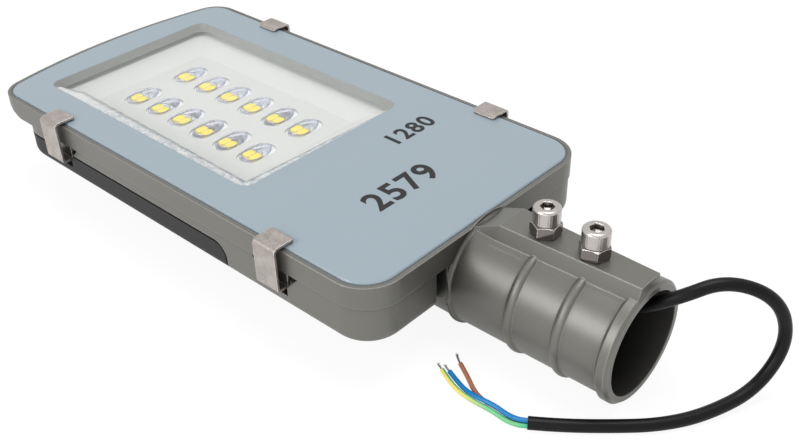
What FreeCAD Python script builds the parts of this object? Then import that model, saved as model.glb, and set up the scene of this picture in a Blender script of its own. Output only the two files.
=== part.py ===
import FreeCAD, Part
import math
import os
import Sketcher

# LED street light head, lying on its back with the glass up, as it is unpacked.
# Millimetres, +Z up, +X along the length towards the pole socket.
# The origin is on the ground, under the middle of the head.
# Every piece is drawn from one datum: the middle of the rim at the socket end, level
# with the top of the glass, so depths are negative heights there.

Vector = FreeCAD.Vector
Rotation = FreeCAD.Rotation
Placement = FreeCAD.Placement

os.makedirs("parts", exist_ok=True)
doc = FreeCAD.newDocument("street_light_head")

SIZES = (
    # body outline
    ("body_length", 305.0), ("body_width", 165.0), ("arch_radius", 345.0),
    ("far_corner", 16.0), ("near_corner", 20.0), ("band_height", 12.0),
    ("nose_round", 5.5), ("nose_rise", 5.5), ("wall_inset", 0.6), ("far_setback", 16.0),
    ("lower_corner", 20.0), ("side_depth", 17.5), ("body_depth", 33.5),
    ("split_round", 9.0), ("under_round", 6.0),
    # glass seat and chambers
    ("rim_wall", 1.8), ("glass_gap", 1.2), ("glass_thick", 4.0), ("glass_stand", 0.6),
    ("glass_bevel", 0.6), ("gasket_thick", 1.5), ("gasket_width", 5.0),
    ("chamber_wall", 8.5), ("chamber_room", 2.4), ("ledge_depth", 11.3),
    ("deep_far", 28.0), ("deep_room", 0.2), ("deep_side", 10.5),
    ("floor_depth", 16.8), ("floor_thick", 4.0), ("floor_margin", 7.0),
    ("bay_wall", 12.2), ("bay_near", 11.0), ("bay_side", 9.5), ("bay_floor", 3.5),
    ("bay_corner", 12.0), ("trough_wall", 3.2), ("trough_top", 14.0), ("end_wall", 6.0),
    # pole socket
    ("socket_length", 88.0), ("axis_drop", 28.1), ("bore_radius", 26.0),
    ("root_radius", 29.3), ("tip_radius", 28.7), ("neck_fillet", 1.6), ("neck_root", 0.5),
    ("bead_radius", 30.4), ("bead_width", 7.0), ("bead_bevel", 1.6), ("rib_rise", 1.4),
    ("rib_width", 5.2), ("rib_first", 34.5), ("rib_second", 60.0),
    ("recess_width", 7.5), ("recess_deep", 7.0), ("recess_corner", 1.5),
    # clamping boss and its screws
    ("boss_rise", 6.5), ("boss_start", 13.5), ("boss_end", 1.0), ("boss_wide", 9.2),
    ("boss_narrow", 7.2), ("boss_flare", 4.6), ("boss_foot", 6.0), ("foot_top", 0.6),
    ("foot_wide", 2.5), ("foot_fall", 1.9), ("ramp_top", 0.3), ("ramp_spread", 1.2),
    ("bolt_first", 32.5), ("bolt_pitch", 26.0), ("bolt_thread", 8.0),
    ("thread_play", 0.1), ("thread_slack", 0.05), ("head_wide", 13.0),
    ("head_tall", 8.0), ("head_bevel", 1.0), ("key_across", 6.0), ("key_deep", 4.5),
    ("nut_across", 13.0), ("nut_tall", 6.5), ("bolt_reach", 2.4),
    # glass clips and their notches
    ("clip_wide", 14.6), ("clip_sheet", 1.3), ("clip_end", 67.0), ("clip_margin", 35.3),
    ("clip_stand", 4.7), ("clip_lift", 1.7), ("clip_hold", 9.0), ("clip_drop", 22.0),
    ("clip_fold", 7.6), ("clip_play", 0.2), ("clip_corner", 2.0),
    ("clip_bend", 3.0), ("clip_hem", 1.6), ("clip_lean", 0.4), ("notch_deep", 4.4),
    ("notch_wide", 33.0), ("notch_slope", 8.4), ("notch_low", 25.0), ("notch_play", 0.9),
    # dark heat sink on the back
    ("shadow_gap", 1.2), ("crown_side", 27.0), ("crown_far", 16.0), ("crown_near", 10.0),
    ("crown_slope", 18.0), ("crown_corner", 12.0), ("sink_base", 4.6), ("fin_pitch", 10.0),
    ("fin_thick", 3.0), ("fin_pairs", 6), ("slot_inset", 12.0), ("slot_end", 3.0),
    ("floor_play", 0.5), ("sink_screw", 5.0), ("sink_screw_grip", 8.0),
    ("sink_screw_head", 8.5), ("sink_head_tall", 3.0), ("sink_key", 4.0),
    ("sink_screw_side", 6.0), ("sink_screw_end", 2.0),
    # window, reflector tray and light unit
    ("window_length", 174.6), ("window_margin", 20.8), ("window_side", 24.6),
    ("window_corner", 9.0), ("tray_collar", 3.6), ("tray_floor", 13.5), ("tray_sheet", 1.0),
    ("tray_flange", 3.4), ("tray_play", 0.1), ("pan_end", 20.3), ("pan_slope", 17.9),
    ("pan_corner", 3.0), ("led_pitch", 20.3), ("led_rows", 35.7), ("led_count", 6),
    ("board_end", 16.3), ("board_side", 27.5), ("board_thick", 1.6),
    ("board_corner", 3.0), ("board_screw_inset", 4.0), ("board_screw_end", 13.0),
    ("pad_thick", 0.4), ("chip_side", 5.0), ("chip_thick", 0.8), ("lens_long", 23.0),
    ("lens_wide", 13.0), ("lens_tall", 5.6), ("lens_play", 0.4), ("lens_cell", 4.2),
    ("lens_cell_tall", 1.4),
    # driver and cable entry
    ("driver_near", 3.0), ("driver_far", 7.8), ("driver_width", 40.0), ("driver_tall", 26.0),
    ("driver_top", 18.0), ("driver_corner", 2.0), ("driver_bevel", 1.5),
    ("ear_width", 66.0), ("ear_length", 12.0), ("ear_thick", 2.0), ("ear_screw_inset", 4.5),
    ("small_screw", 3.5), ("small_head", 6.4), ("small_head_tall", 2.0), ("small_key", 2.5),
    ("board_screw_grip", 3.2), ("ear_screw_grip", 2.6), ("gland_lift", 4.0),
    ("gland_thread", 12.0), ("gland_across", 15.0), ("gland_flange", 5.0),
    ("gland_cap", 9.0), ("gland_nut_thick", 4.0), ("seal_size", 9.4), ("lead_size", 6.2),
    ("lead_play", 0.15), ("core_size", 2.3), ("strand_size", 1.1), ("wire_size", 1.4),
)

# Sizes that follow from others, so that the parts stay together when one of them changes.
FOLLOWING = {
    "window_middle": "(body_length - window_margin - window_length / 2)",
    "window_width": "(body_width - 2 * window_side)",
    "pan_width": "(window_width - 2 * pan_slope)",
    "pan_length": "(window_length - 2 * pan_end)",
    "board_length": "(window_length - 2 * board_end)",
    "board_width": "(body_width - 2 * board_side)",
    "chamber_far": "(window_margin - tray_flange - chamber_room)",
    "deep_near": "(window_middle - window_length / 2 - tray_flange - deep_room)",
    "bay_far": "(deep_near - bay_wall)",
    "split_length": "(bay_far + trough_wall)",
    "driver_length": "(bay_far - bay_near - driver_near - driver_far)",
    "driver_middle": "(bay_near + driver_near + driver_length / 2)",
    "clip_near": "(split_length - clip_margin)",
    "clip_far": "(body_length - clip_end)",
}

sheet = doc.addObject("Spreadsheet::Sheet", "Sizes")
for row, (alias, value) in enumerate(SIZES, start=1):
    sheet.set("A%d" % row, alias)
    sheet.set("B%d" % row, str(value))
    sheet.setAlias("B%d" % row, alias)
doc.recompute()


def cell(alias):
    return float(getattr(sheet, alias))


def full(text):
    """A formula in plain size names, with each name pointed at the sheet or worked out."""
    out, word = [], ""
    for letter in text + " ":
        if letter.isalpha() or letter == "_":
            word += letter
            continue
        if word in FOLLOWING:
            word = full(FOLLOWING[word])
        elif word in NAMES:
            word = "Sizes." + word
        out.append(word)
        out.append(letter)
        word = ""
    return "".join(out).strip()


NAMES = {alias for alias, _ in SIZES}
END_X = "(body_length - socket_length) / 2"
GLASS_Z = "bead_radius + axis_drop"


def value_of(text):
    found = sheet.evalExpression(full(text))
    return float(getattr(found, "Value", found))


def bind(thing, prop, text):
    thing.setExpression(prop, full(text))


def place(piece, x="0", y="0", z="0", turn=0.0):
    """Put a piece at a point measured from the datum, turned about +Z."""
    piece.Placement = Placement(Vector(0, 0, 0), Rotation(Vector(0, 0, 1), turn))
    bind(piece, "Placement.Base.x", "%s + (%s)" % (END_X, x))
    bind(piece, "Placement.Base.y", y)
    bind(piece, "Placement.Base.z", "%s + (%s)" % (GLASS_Z, z))


def new_body(label, **where):
    body = doc.addObject("PartDesign::Body", label)
    body.Label = label
    place(body, **where)
    return body


def plane(body, role):
    return next(f for f in body.Origin.OriginFeatures if f.Role == role)


def new_sketch(body, role, height="0"):
    sketch = body.newObject("Sketcher::SketchObject", body.Name + "_sketch")
    sketch.AttachmentSupport = [(plane(body, role), "")]
    sketch.MapMode = "FlatFace"
    bind(sketch, "AttachmentOffset.Base.z", height)
    return sketch


def pin(sketch, kind, refs, text):
    """Add a size to a sketch and tie it to a formula."""
    number = value_of(text)
    index = sketch.addConstraint(Sketcher.Constraint(kind, *refs, number))
    sketch.renameConstraint(index, "size%d" % index)
    bind(sketch, "Constraints.size%d" % index, text)


def pin_point(sketch, geo, spot, x, y):
    pin(sketch, "DistanceX", (-1, 1, geo, spot), x)
    pin(sketch, "DistanceY", (-1, 1, geo, spot), y)


def circle(sketch, x, y, radius):
    centre = Vector(value_of(x), value_of(y), 0)
    geo = sketch.addGeometry(Part.Circle(centre, Vector(0, 0, 1), value_of(radius)))
    pin(sketch, "Radius", (geo,), radius)
    pin_point(sketch, geo, 3, x, y)


def arc(start, middle, end):
    """An arc through three points, always drawn anticlockwise."""
    clockwise = (middle - start).cross(end - middle).z < 0
    return Part.Arc(end, middle, start) if clockwise else Part.Arc(start, middle, end)


def outline(sketch, corners):
    """A closed outline of straight edges; each corner is (x, y) or (x, y, radius)."""
    spots = [Vector(value_of(c[0]), value_of(c[1]), 0) for c in corners]
    count = len(corners)
    cuts = []
    for i, corner in enumerate(corners):
        here, back, on = spots[i], spots[i - 1], spots[(i + 1) % count]
        if len(corner) == 2:
            cuts.append((here, here, None))
            continue
        into, out = (here - back).normalize(), (on - here).normalize()
        half = math.acos(max(-1.0, min(1.0, into.dot(out)))) / 2
        reach = value_of(corner[2]) * math.tan(half)
        start, end = here - into * reach, here + out * reach
        inward = (out - into).normalize()
        middle = here + inward * (value_of(corner[2]) * (1 / math.cos(half) - 1))
        cuts.append((start, end, middle))
    marks = [sketch.addGeometry(Part.Point(s), True) for s in spots]
    lines = []
    for i in range(count):
        run = Part.LineSegment(cuts[i][1], cuts[(i + 1) % count][0])
        lines.append(sketch.addGeometry(run, False))
    for i, corner in enumerate(corners):
        pin_point(sketch, marks[i], 1, corner[0], corner[1])
        before, after = lines[i - 1], lines[i]
        if cuts[i][2] is None:
            sketch.addConstraint(Sketcher.Constraint("Coincident", before, 2, marks[i], 1))
            sketch.addConstraint(Sketcher.Constraint("Coincident", after, 1, marks[i], 1))
            continue
        start, end, middle = cuts[i]
        geo = sketch.addGeometry(arc(start, middle, end), False)
        shape = sketch.Geometry[geo]
        first_is_start = shape.StartPoint.distanceToPoint(start) < 1e-6
        one, two = (1, 2) if first_is_start else (2, 1)
        sketch.addConstraint(Sketcher.Constraint("PointOnObject", marks[i], 1, before))
        sketch.addConstraint(Sketcher.Constraint("PointOnObject", marks[i], 1, after))
        sketch.addConstraint(Sketcher.Constraint("Tangent", before, 2, geo, one))
        sketch.addConstraint(Sketcher.Constraint("Tangent", after, 1, geo, two))
        pin(sketch, "Radius", (geo,), corner[2])


def rounded_box(sketch, x0, x1, half_width, radius):
    """A rectangle with round corners, even about the middle line."""
    low = "-(%s)" % half_width
    outline(sketch, [(x0, low, radius), (x1, low, radius),
                     (x1, half_width, radius), (x0, half_width, radius)])


def join(sketch, geo, other, kind):
    for a, p in ((1, "StartPoint"), (2, "EndPoint")):
        for b, q in ((1, "StartPoint"), (2, "EndPoint")):
            here, there = getattr(sketch.Geometry[geo], p), getattr(sketch.Geometry[other], q)
            if here.distanceToPoint(there) < 1e-5:
                sketch.addConstraint(Sketcher.Constraint(kind, geo, a, other, b))
                return


def meet(sketch, geo, other):
    """Join two neighbours at their common end."""
    join(sketch, geo, other, "Coincident")


def join_smoothly(sketch, geo, other):
    """Join two neighbours at their common end, and make them tangent there."""
    join(sketch, geo, other, "Tangent")


def head_outline(sketch, inset="0", setback="0", corner="far_corner"):
    """The plan of the head: straight sides, a straight socket end and an arched far end."""
    half = "body_width / 2 - (%s)" % inset
    near = "-(%s)" % inset
    far = "-(body_length - (%s) - (%s))" % (inset, setback)
    arch = "arch_radius - (%s)" % inset
    small = "near_corner - (%s)" % inset
    w, x1, x0 = value_of(half), value_of(near), value_of(far)
    big, rn, rf = value_of(arch), value_of(small), value_of(corner)
    arch_x = x0 + big
    corner_x = arch_x - math.sqrt((big - rf) ** 2 - (w - rf) ** 2)
    lean = math.atan2(w - rf, arch_x - corner_x)
    bisector = (math.pi - lean + math.pi / 2) / 2

    def both(x, y):
        return Vector(x, y, 0), Vector(x, -y, 0)

    diag = rn * math.sqrt(0.5)
    touch = both(arch_x - big * math.cos(lean), big * math.sin(lean))
    far_mid = both(corner_x + rf * math.cos(bisector), w - rf + rf * math.sin(bisector))
    side_far, side_near = both(corner_x, w), both(x1 - rn, w)
    near_mid, end = both(x1 - rn + diag, w - rn + diag), both(x1, w - rn)
    geos = sketch.addGeometry([
        Part.LineSegment(side_far[1], side_near[1]),
        Part.Arc(side_near[1], near_mid[1], end[1]),
        Part.LineSegment(end[1], end[0]),
        Part.Arc(end[0], near_mid[0], side_near[0]),
        Part.LineSegment(side_near[0], side_far[0]),
        Part.Arc(side_far[0], far_mid[0], touch[0]),
        Part.Arc(touch[0], Vector(x0, 0, 0), touch[1]),
        Part.Arc(touch[1], far_mid[1], side_far[1]),
    ], False)
    for i, geo in enumerate(geos):
        join_smoothly(sketch, geo, geos[(i + 1) % len(geos)])
    sketch.addConstraint(Sketcher.Constraint("Vertical", geos[2]))
    sketch.addConstraint(Sketcher.Constraint("Equal", geos[1], geos[3]))
    sketch.addConstraint(Sketcher.Constraint("Equal", geos[5], geos[7]))
    pin(sketch, "Radius", (geos[1],), small)
    pin(sketch, "Radius", (geos[5],), corner)
    pin(sketch, "Radius", (geos[6],), arch)
    pin_point(sketch, geos[6], 3, "%s + %s" % (far, arch), "0")
    pin(sketch, "DistanceX", (-1, 1, geos[2], 1), near)
    pin(sketch, "DistanceY", (-1, 1, geos[4], 1), half)
    pin(sketch, "DistanceY", (geos[0], 1, -1, 1), half)


def pad(body, sketch, depth, down=True):
    pad = body.newObject("PartDesign::Pad", body.Name + "_pad")
    pad.Profile = sketch
    pad.Reversed = down
    bind(pad, "Length", depth)
    doc.recompute()
    return pad


def pocket(body, sketch, depth=None, up=False, both=False):
    """Cut a sketch's shape away; with no depth it goes right through."""
    before = body.Tip.Shape.Volume
    cut = body.newObject("PartDesign::Pocket", body.Name + "_pocket")
    cut.Profile = sketch
    cut.Reversed = up
    cut.Midplane = both
    if depth is None:
        cut.Type = "ThroughAll"
    else:
        bind(cut, "Length", depth)
    doc.recompute()
    if body.Tip.Shape.isNull() or not body.Tip.Shape.Volume < before - 0.01:
        raise RuntimeError("%s: %s cuts nothing" % (body.Label, cut.Name))
    return cut


def mirror(body, features, role="XZ_Plane"):
    twin = body.newObject("PartDesign::Mirrored", body.Name + "_mirror")
    twin.Originals = features
    twin.MirrorPlane = (plane(body, role), [""])
    body.Tip = twin
    doc.recompute()
    return twin


def round_edges(body, chosen, radius, bevel=False):
    """Round or bevel the edges of a body that a test picks by their position."""
    base = body.Tip
    names = ["Edge%d" % (i + 1) for i, e in enumerate(base.Shape.Edges) if chosen(e)]
    if not names:
        raise RuntimeError("%s: no edge to round" % body.Label)
    kind = "PartDesign::Chamfer" if bevel else "PartDesign::Fillet"
    dress = body.newObject(kind, body.Name + "_edge")
    dress.Base = (base, names)
    bind(dress, "Size" if bevel else "Radius", radius)
    doc.recompute()
    return dress


def level(edge, height):
    box = edge.BoundBox
    return abs(box.ZMin - height) < 1e-4 and abs(box.ZMax - height) < 1e-4


# Housing: one aluminium casting with the rim, chambers, socket and boss

def make_housing():
    body = new_body("housing")
    rim = new_sketch(body, "XY_Plane")
    head_outline(rim)
    pad(body, rim, "band_height - nose_rise")
    nose = []
    for depth, back in (("band_height - nose_rise", "0"),
                        ("band_height - nose_rise * 0.45", "nose_round * 0.2"),
                        ("band_height", "nose_round")):
        section = new_sketch(body, "XY_Plane", "-(%s)" % depth)
        head_outline(section, setback=back)
        nose.append(section)
    loft(body, nose)
    lower = new_sketch(body, "XY_Plane", "-band_height")
    head_outline(lower, "wall_inset", "far_setback", "lower_corner")
    pad(body, lower, "body_depth - band_height")
    step = new_sketch(body, "XZ_Plane")
    outline(step, [("-body_length - 5", "-body_depth - 5"), ("-body_length - 5", "-side_depth"),
                   ("-split_length", "-side_depth", "split_round"),
                   ("-split_length", "-body_depth - 5")])
    pocket(body, step, both=True)
    base = -value_of("body_depth")
    wall = -value_of("split_length")
    round_edges(body, lambda e: level(e, base) and not e.BoundBox.XMax < wall + 1e-3, "under_round")
    floor = new_sketch(body, "XY_Plane", "-side_depth")
    floor_box(floor)
    pad(body, floor, "floor_depth + floor_thick - side_depth")
    make_socket(body)
    make_recesses(body)
    make_chambers(body)
    make_notches(body)
    return body


def make_socket(body):
    """The ribbed tube for the pole, its boss and its bore, on the tube's own axis."""
    profile = new_sketch(body, "XZ_Plane")
    axis = "-axis_drop"
    root, tip = "root_radius", "tip_radius"
    flare = "%s + %s + neck_fillet" % (axis, root)
    skin = "%s + root_radius - (root_radius - tip_radius) * neck_fillet / socket_length" % axis
    spots = [("-split_length", axis), ("-split_length", "%s + %s" % (axis, root)),
             ("-neck_root", "%s + %s" % (axis, root)), ("-neck_root", flare), ("0", flare),
             ("neck_fillet", skin)]
    arcs = [(4, ("neck_fillet * (1 - sqrt(0.5))", flare + " - neck_fillet * sqrt(0.5)"), None)]
    for middle in ("rib_first", "rib_second"):
        start = "%s - rib_width / 2" % middle
        end = "%s + rib_width / 2" % middle
        skin = "%s + root_radius - (root_radius - tip_radius) * %s / socket_length" % (axis, middle)
        spots += [(start, skin), (end, skin)]
        arcs.append((len(spots) - 2, (middle, skin + " + rib_rise"),
                     "((rib_width / 2)^2 + rib_rise^2) / (2 * rib_rise)"))
    skin = "%s + tip_radius" % axis
    spots.append(("socket_length - bead_width", skin))
    spots.append(("socket_length - bead_width + (bead_radius - tip_radius)", "%s + bead_radius" % axis))
    spots.append(("socket_length - bead_bevel", "%s + bead_radius" % axis))
    spots.append(("socket_length", "%s + bead_radius - bead_bevel" % axis))
    spots.append(("socket_length", axis))
    points = [Vector(value_of(x), value_of(y), 0) for x, y in spots]
    geos = []
    for i, point in enumerate(points):
        on = points[(i + 1) % len(points)]
        bulge = next((a for a in arcs if a[0] == i), None)
        if bulge:
            top = Vector(value_of(bulge[1][0]), value_of(bulge[1][1]), 0)
            geos.append(profile.addGeometry(arc(point, top, on), False))
        else:
            geos.append(profile.addGeometry(Part.LineSegment(point, on), False))
    marks = [profile.addGeometry(Part.Point(p), True) for p in points]
    for i, (x, y) in enumerate(spots):
        pin_point(profile, marks[i], 1, x, y)
        for geo in (geos[i - 1], geos[i]):
            shape = profile.Geometry[geo]
            end = 1 if shape.StartPoint.distanceToPoint(points[i]) < 1e-6 else 2
            profile.addConstraint(Sketcher.Constraint("Coincident", geo, end, marks[i], 1))
    for start, middle, radius in arcs:
        if radius:
            pin(profile, "Radius", (geos[start],), radius)
        else:
            bend = profile.addGeometry(Part.Point(Vector(*map(value_of, middle), 0)), True)
            pin_point(profile, bend, 1, *middle)
            profile.addConstraint(Sketcher.Constraint("PointOnObject", bend, 1, geos[start]))
    turn = body.newObject("PartDesign::Revolution", "housing_tube")
    turn.Profile = profile
    turn.ReferenceAxis = (profile, ["Edge%d" % len(points)])
    turn.Angle = 360
    doc.recompute()

    boss = []
    for x, top, half in (("0", "ramp_top", "boss_wide + ramp_spread"),
                         ("boss_start", "boss_rise", "boss_wide"),
                         ("socket_length - boss_end", "boss_rise", "boss_narrow")):
        side = "%s + boss_flare * (%s + foot_top) / (%s + boss_foot)" % (half, top, top)
        right = [(side + " + foot_wide", "-boss_foot"), (side + " + foot_wide", "-foot_top - foot_fall"),
                 (side, "-foot_top"), (half, top)]
        left = [("-(%s)" % y, z) for y, z in reversed(right)]
        section = new_sketch(body, "YZ_Plane", x)
        outline(section, right + left)
        boss.append(section)
    loft(body, boss)
    mouth = new_sketch(body, "YZ_Plane", "socket_length")
    circle(mouth, "0", axis, "bore_radius")
    pocket(body, mouth, "socket_length - end_wall / 2")
    drilled = new_sketch(body, "XY_Plane", "boss_rise + 1")
    circle(drilled, "bolt_first", "0", "bolt_thread / 2 + thread_play")
    circle(drilled, "bolt_first + bolt_pitch", "0", "bolt_thread / 2 + thread_play")
    pocket(body, drilled, "boss_rise + 6")


def loft(body, sections, cut=False):
    kind = "PartDesign::SubtractiveLoft" if cut else "PartDesign::AdditiveLoft"
    made = body.newObject(kind, body.Name + "_loft")
    made.Profile = sections[0]
    made.Sections = sections[1:]
    made.Ruled = True
    doc.recompute()
    return made


def make_chambers(body):
    """Glass seat, lamp chamber, driver bay with its trough, and the holes between them."""
    seat = "glass_thick + gasket_thick"
    opening = new_sketch(body, "XY_Plane", "3")
    head_outline(opening, "rim_wall", "0", "far_corner - rim_wall")
    pocket(body, opening, seat + " + 3")
    chamber = new_sketch(body, "XY_Plane", "-(%s)" % seat)
    rounded_box(chamber, "-(body_length - chamber_far)", "-(deep_near - 2)",
                "body_width / 2 - chamber_wall", "bay_corner")
    pocket(body, chamber, "ledge_depth - (%s)" % seat)
    deep = new_sketch(body, "XY_Plane", "-ledge_depth")
    rounded_box(deep, "-(body_length - deep_far)", "-deep_near",
                "body_width / 2 - deep_side", "bay_corner")
    pocket(body, deep, "floor_depth - ledge_depth")
    bay = new_sketch(body, "XY_Plane", "-(%s)" % seat)
    rounded_box(bay, "-bay_far", "-bay_near", "body_width / 2 - bay_side", "bay_corner")
    pocket(body, bay, "body_depth - bay_floor - (%s)" % seat)
    trough = new_sketch(body, "YZ_Plane", "-end_wall / 2")
    trough_outline(trough)
    pocket(body, trough, "split_length - trough_wall - end_wall / 2")
    passage = new_sketch(body, "XY_Plane", "-(%s)" % seat)
    rounded_box(passage, "-(deep_near + 2)", "-(bay_far - 2)", "wire_size * 3", "1")
    pocket(body, passage, "ledge_depth - (%s)" % seat)
    entry = new_sketch(body, "YZ_Plane", "end_wall / 2")
    circle(entry, "0", "-axis_drop + gland_lift", "gland_thread / 2 + thread_play")
    pocket(body, entry, "end_wall")
    fixings = new_sketch(body, "XY_Plane", "-floor_depth")
    for x, y in sink_screw_spots():
        circle(fixings, x, y, "sink_screw / 2 + thread_play")
    pocket(body, fixings, "floor_thick")
    taps = new_sketch(body, "XY_Plane", "-floor_depth")
    for x, y in board_screw_spots():
        circle(taps, x, y, "small_screw / 2")
    pocket(body, taps, "board_screw_grip + 0.4")
    ears = new_sketch(body, "XY_Plane", "-(body_depth - bay_floor)")
    for x, y in ear_screw_spots():
        circle(ears, x, y, "small_screw / 2")
    pocket(body, ears, "ear_screw_grip + 0.2")


def trough_outline(sketch):
    """A half round under a flat top, on the socket's axis."""
    radius, axis, top = "root_radius - trough_wall", "-axis_drop", "-trough_top"
    r, zc, zt = value_of(radius), value_of(axis), value_of(top)
    geos = sketch.addGeometry([
        Part.Arc(Vector(-r, zc, 0), Vector(0, zc - r, 0), Vector(r, zc, 0)),
        Part.LineSegment(Vector(r, zc, 0), Vector(r, zt, 0)),
        Part.LineSegment(Vector(r, zt, 0), Vector(-r, zt, 0)),
        Part.LineSegment(Vector(-r, zt, 0), Vector(-r, zc, 0)),
    ], False)
    for i, geo in enumerate(geos):
        meet(sketch, geo, geos[(i + 1) % len(geos)])
    pin(sketch, "Radius", (geos[0],), radius)
    pin_point(sketch, geos[0], 3, "0", axis)
    pin_point(sketch, geos[1], 2, radius, top)
    pin_point(sketch, geos[2], 2, "-(%s)" % radius, top)
    pin(sketch, "DistanceY", (-1, 1, geos[0], 1), axis)
    pin(sketch, "DistanceY", (-1, 1, geos[0], 2), axis)


def sink_screw_spots():
    """Six screws along the two long sides, clear of the board."""
    side = "(body_width / 2 - deep_side - sink_screw_side)"
    xs = ("-(window_middle + board_length / 2 - sink_screw_end)", "-window_middle",
          "-(window_middle - board_length / 2 + sink_screw_end)")
    return [(x, y) for x in xs for y in ("-" + side, side)]


def board_screw_spots():
    """Six screws along the long sides of the lamp board, outside the tray's slopes."""
    along = "(board_length / 2 - board_screw_end)"
    side = "(board_width / 2 - board_screw_inset)"
    xs = ("-window_middle - " + along, "-window_middle", "-window_middle + " + along)
    return [(x, y) for x in xs for y in ("-" + side, side)]


def ear_screw_spots():
    x = "(driver_length / 2 - ear_length / 2)"
    y = "(ear_width / 2 - ear_screw_inset)"
    return [("-driver_middle %s %s" % (a, x), "%s%s" % (b, y)) for a in "+-" for b in ("-", "")]


def notch_outline(sketch, x):
    """A wide slot with sloping ends, which narrows to the clip's own width lower down."""
    wide, slim = "notch_wide / 2", "(clip_wide / 2 + notch_play)"
    top, mid, low = "-band_height", "-(band_height + notch_slope)", "-(notch_low + notch_play)"
    outline(sketch, [("%s - %s" % (x, wide), top), ("%s - %s" % (x, slim), mid),
                     ("%s - %s" % (x, slim), low), ("%s + %s" % (x, slim), low),
                     ("%s + %s" % (x, slim), mid), ("%s + %s" % (x, wide), top)])


def make_notches(body, clips=("-clip_far", "-clip_near")):
    """Slots for the glass clips under the band, alike on both long sides."""
    cuts = []
    for x in clips:
        slot = new_sketch(body, "XZ_Plane", "body_width / 2")
        notch_outline(slot, x)
        cuts.append(pocket(body, slot, "notch_deep"))
    mirror(body, cuts)


def make_recesses(body):
    """The deep corners beside the neck, under the band."""
    hollow = new_sketch(body, "XY_Plane", "-band_height")
    inner, outer = "root_radius + 0.2", "root_radius + 0.2 + recess_width"
    outline(hollow, [("-recess_deep", inner), ("3", inner), ("3", outer),
                     ("-recess_deep", outer, "recess_corner")])
    mirror(body, [pocket(body, hollow, "body_depth - band_height + 1")])


# Heat sink: dark casting under the light unit, with fins along its crown

def make_heat_sink():
    body = new_body("heat_sink")
    top = "(side_depth + shadow_gap)"
    near = "-(split_length + shadow_gap)"
    base = new_sketch(body, "XY_Plane", "-" + top)
    head_outline(base, "wall_inset", "far_setback", "lower_corner")
    pad(body, base, "body_depth - " + top)
    end = new_sketch(body, "XZ_Plane")
    outline(end, [("10", "-%s + 5" % top), ("10", "-body_depth - 5"), (near, "-body_depth - 5"),
                  (near, "-" + top, "split_round - shadow_gap"), (near + " - 20", "-" + top),
                  (near + " - 20", "-%s + 5" % top)])
    pocket(body, end, both=True)
    low, wall = -value_of("body_depth"), value_of(near)
    round_edges(body, lambda e: level(e, low) and not e.BoundBox.XMin > wall - 1e-3, "under_round")
    crown = []
    for depth, far, side, near_by, corner in (
            ("body_depth - 0.5", "crown_far", "crown_side", "crown_near", "crown_corner"),
            (GLASS_Z, "crown_far + crown_slope", "crown_side + crown_slope",
             "crown_near + crown_slope * 0.6", "crown_corner / 2")):
        section = new_sketch(body, "XY_Plane", "-(%s)" % depth)
        rounded_box(section, "-(body_length - far_setback - (%s))" % far,
                    "-(split_length + shadow_gap + %s)" % near_by,
                    "body_width / 2 - (%s)" % side, corner)
        crown.append(section)
    loft(body, crown)
    slot = new_sketch(body, "XY_Plane", "-(%s)" % GLASS_Z)
    first = "-(fin_pairs - 0.5) * fin_pitch"
    half = "(fin_pitch - fin_thick) / 2"
    far = "-(body_length - far_setback - slot_inset)"
    close = "-(split_length + shadow_gap + slot_inset / 2)"
    one, other = "%s - %s" % (first, half), "%s + %s" % (first, half)
    outline(slot, [(far, one, "slot_end"), (close, one, "slot_end"),
                   (close, other, "slot_end"), (far, other, "slot_end")])
    cut = pocket(body, slot, "%s - (floor_depth + floor_thick + sink_base)" % GLASS_Z, up=True)
    row = body.newObject("PartDesign::LinearPattern", "heat_sink_fins")
    row.Originals = [cut]
    row.Direction = (plane(body, "Y_Axis"), [""])
    bind(row, "Length", "(2 * fin_pairs - 1) * fin_pitch")
    bind(row, "Occurrences", "2 * fin_pairs")
    body.Tip = row
    doc.recompute()
    seat = new_sketch(body, "XY_Plane", "-" + top)
    floor_box(seat, "floor_play")
    pocket(body, seat, "floor_depth + floor_thick - " + top)
    holes = new_sketch(body, "XY_Plane", "-(floor_depth + floor_thick)")
    for x, y in sink_screw_spots():
        circle(holes, x, y, "sink_screw / 2")
    pocket(body, holes, "sink_screw_grip + 0.6")
    make_notches(body, ("-clip_far",))
    return body


def floor_box(sketch, play="0"):
    """The step under the chamber floor that sits in the heat sink."""
    rounded_box(sketch, "-(body_length - far_setback - floor_margin * 1.6 + %s)" % play,
                "-(split_length + shadow_gap + 4 - %s)" % play,
                "body_width / 2 - wall_inset - floor_margin + %s" % play, "lower_corner - floor_margin")


# Glass, its seal and the clips that hold it

def make_cover_glass():
    body = new_body("cover_glass")
    plan = new_sketch(body, "XY_Plane", "glass_stand")
    inset = "rim_wall + glass_gap"
    head_outline(plan, inset, "0", "far_corner - (%s)" % inset)
    pad(body, plan, "glass_thick + glass_stand")
    top = value_of("glass_stand")
    round_edges(body, lambda e: level(e, top), "glass_bevel", bevel=True)
    return body


def make_glass_gasket():
    body = new_body("glass_gasket")
    inset = "rim_wall + glass_gap + 0.2"
    outer = new_sketch(body, "XY_Plane", "-glass_thick")
    head_outline(outer, inset, "0", "far_corner - (%s)" % inset)
    pad(body, outer, "gasket_thick")
    inner = new_sketch(body, "XY_Plane", "-glass_thick")
    head_outline(inner, inset + " + gasket_width", "0", "far_corner - (%s + gasket_width)" % inset)
    pocket(body, inner, "gasket_thick")
    return body


def along_x(edge, spots):
    """Whether an edge runs along X through one of these (y, z) spots."""
    box = edge.BoundBox
    return box.XLength > 1 and any(
        abs(box.Center.y - y) < 1e-3 and abs(box.Center.z - z) < 1e-3 for y, z in spots)


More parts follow.
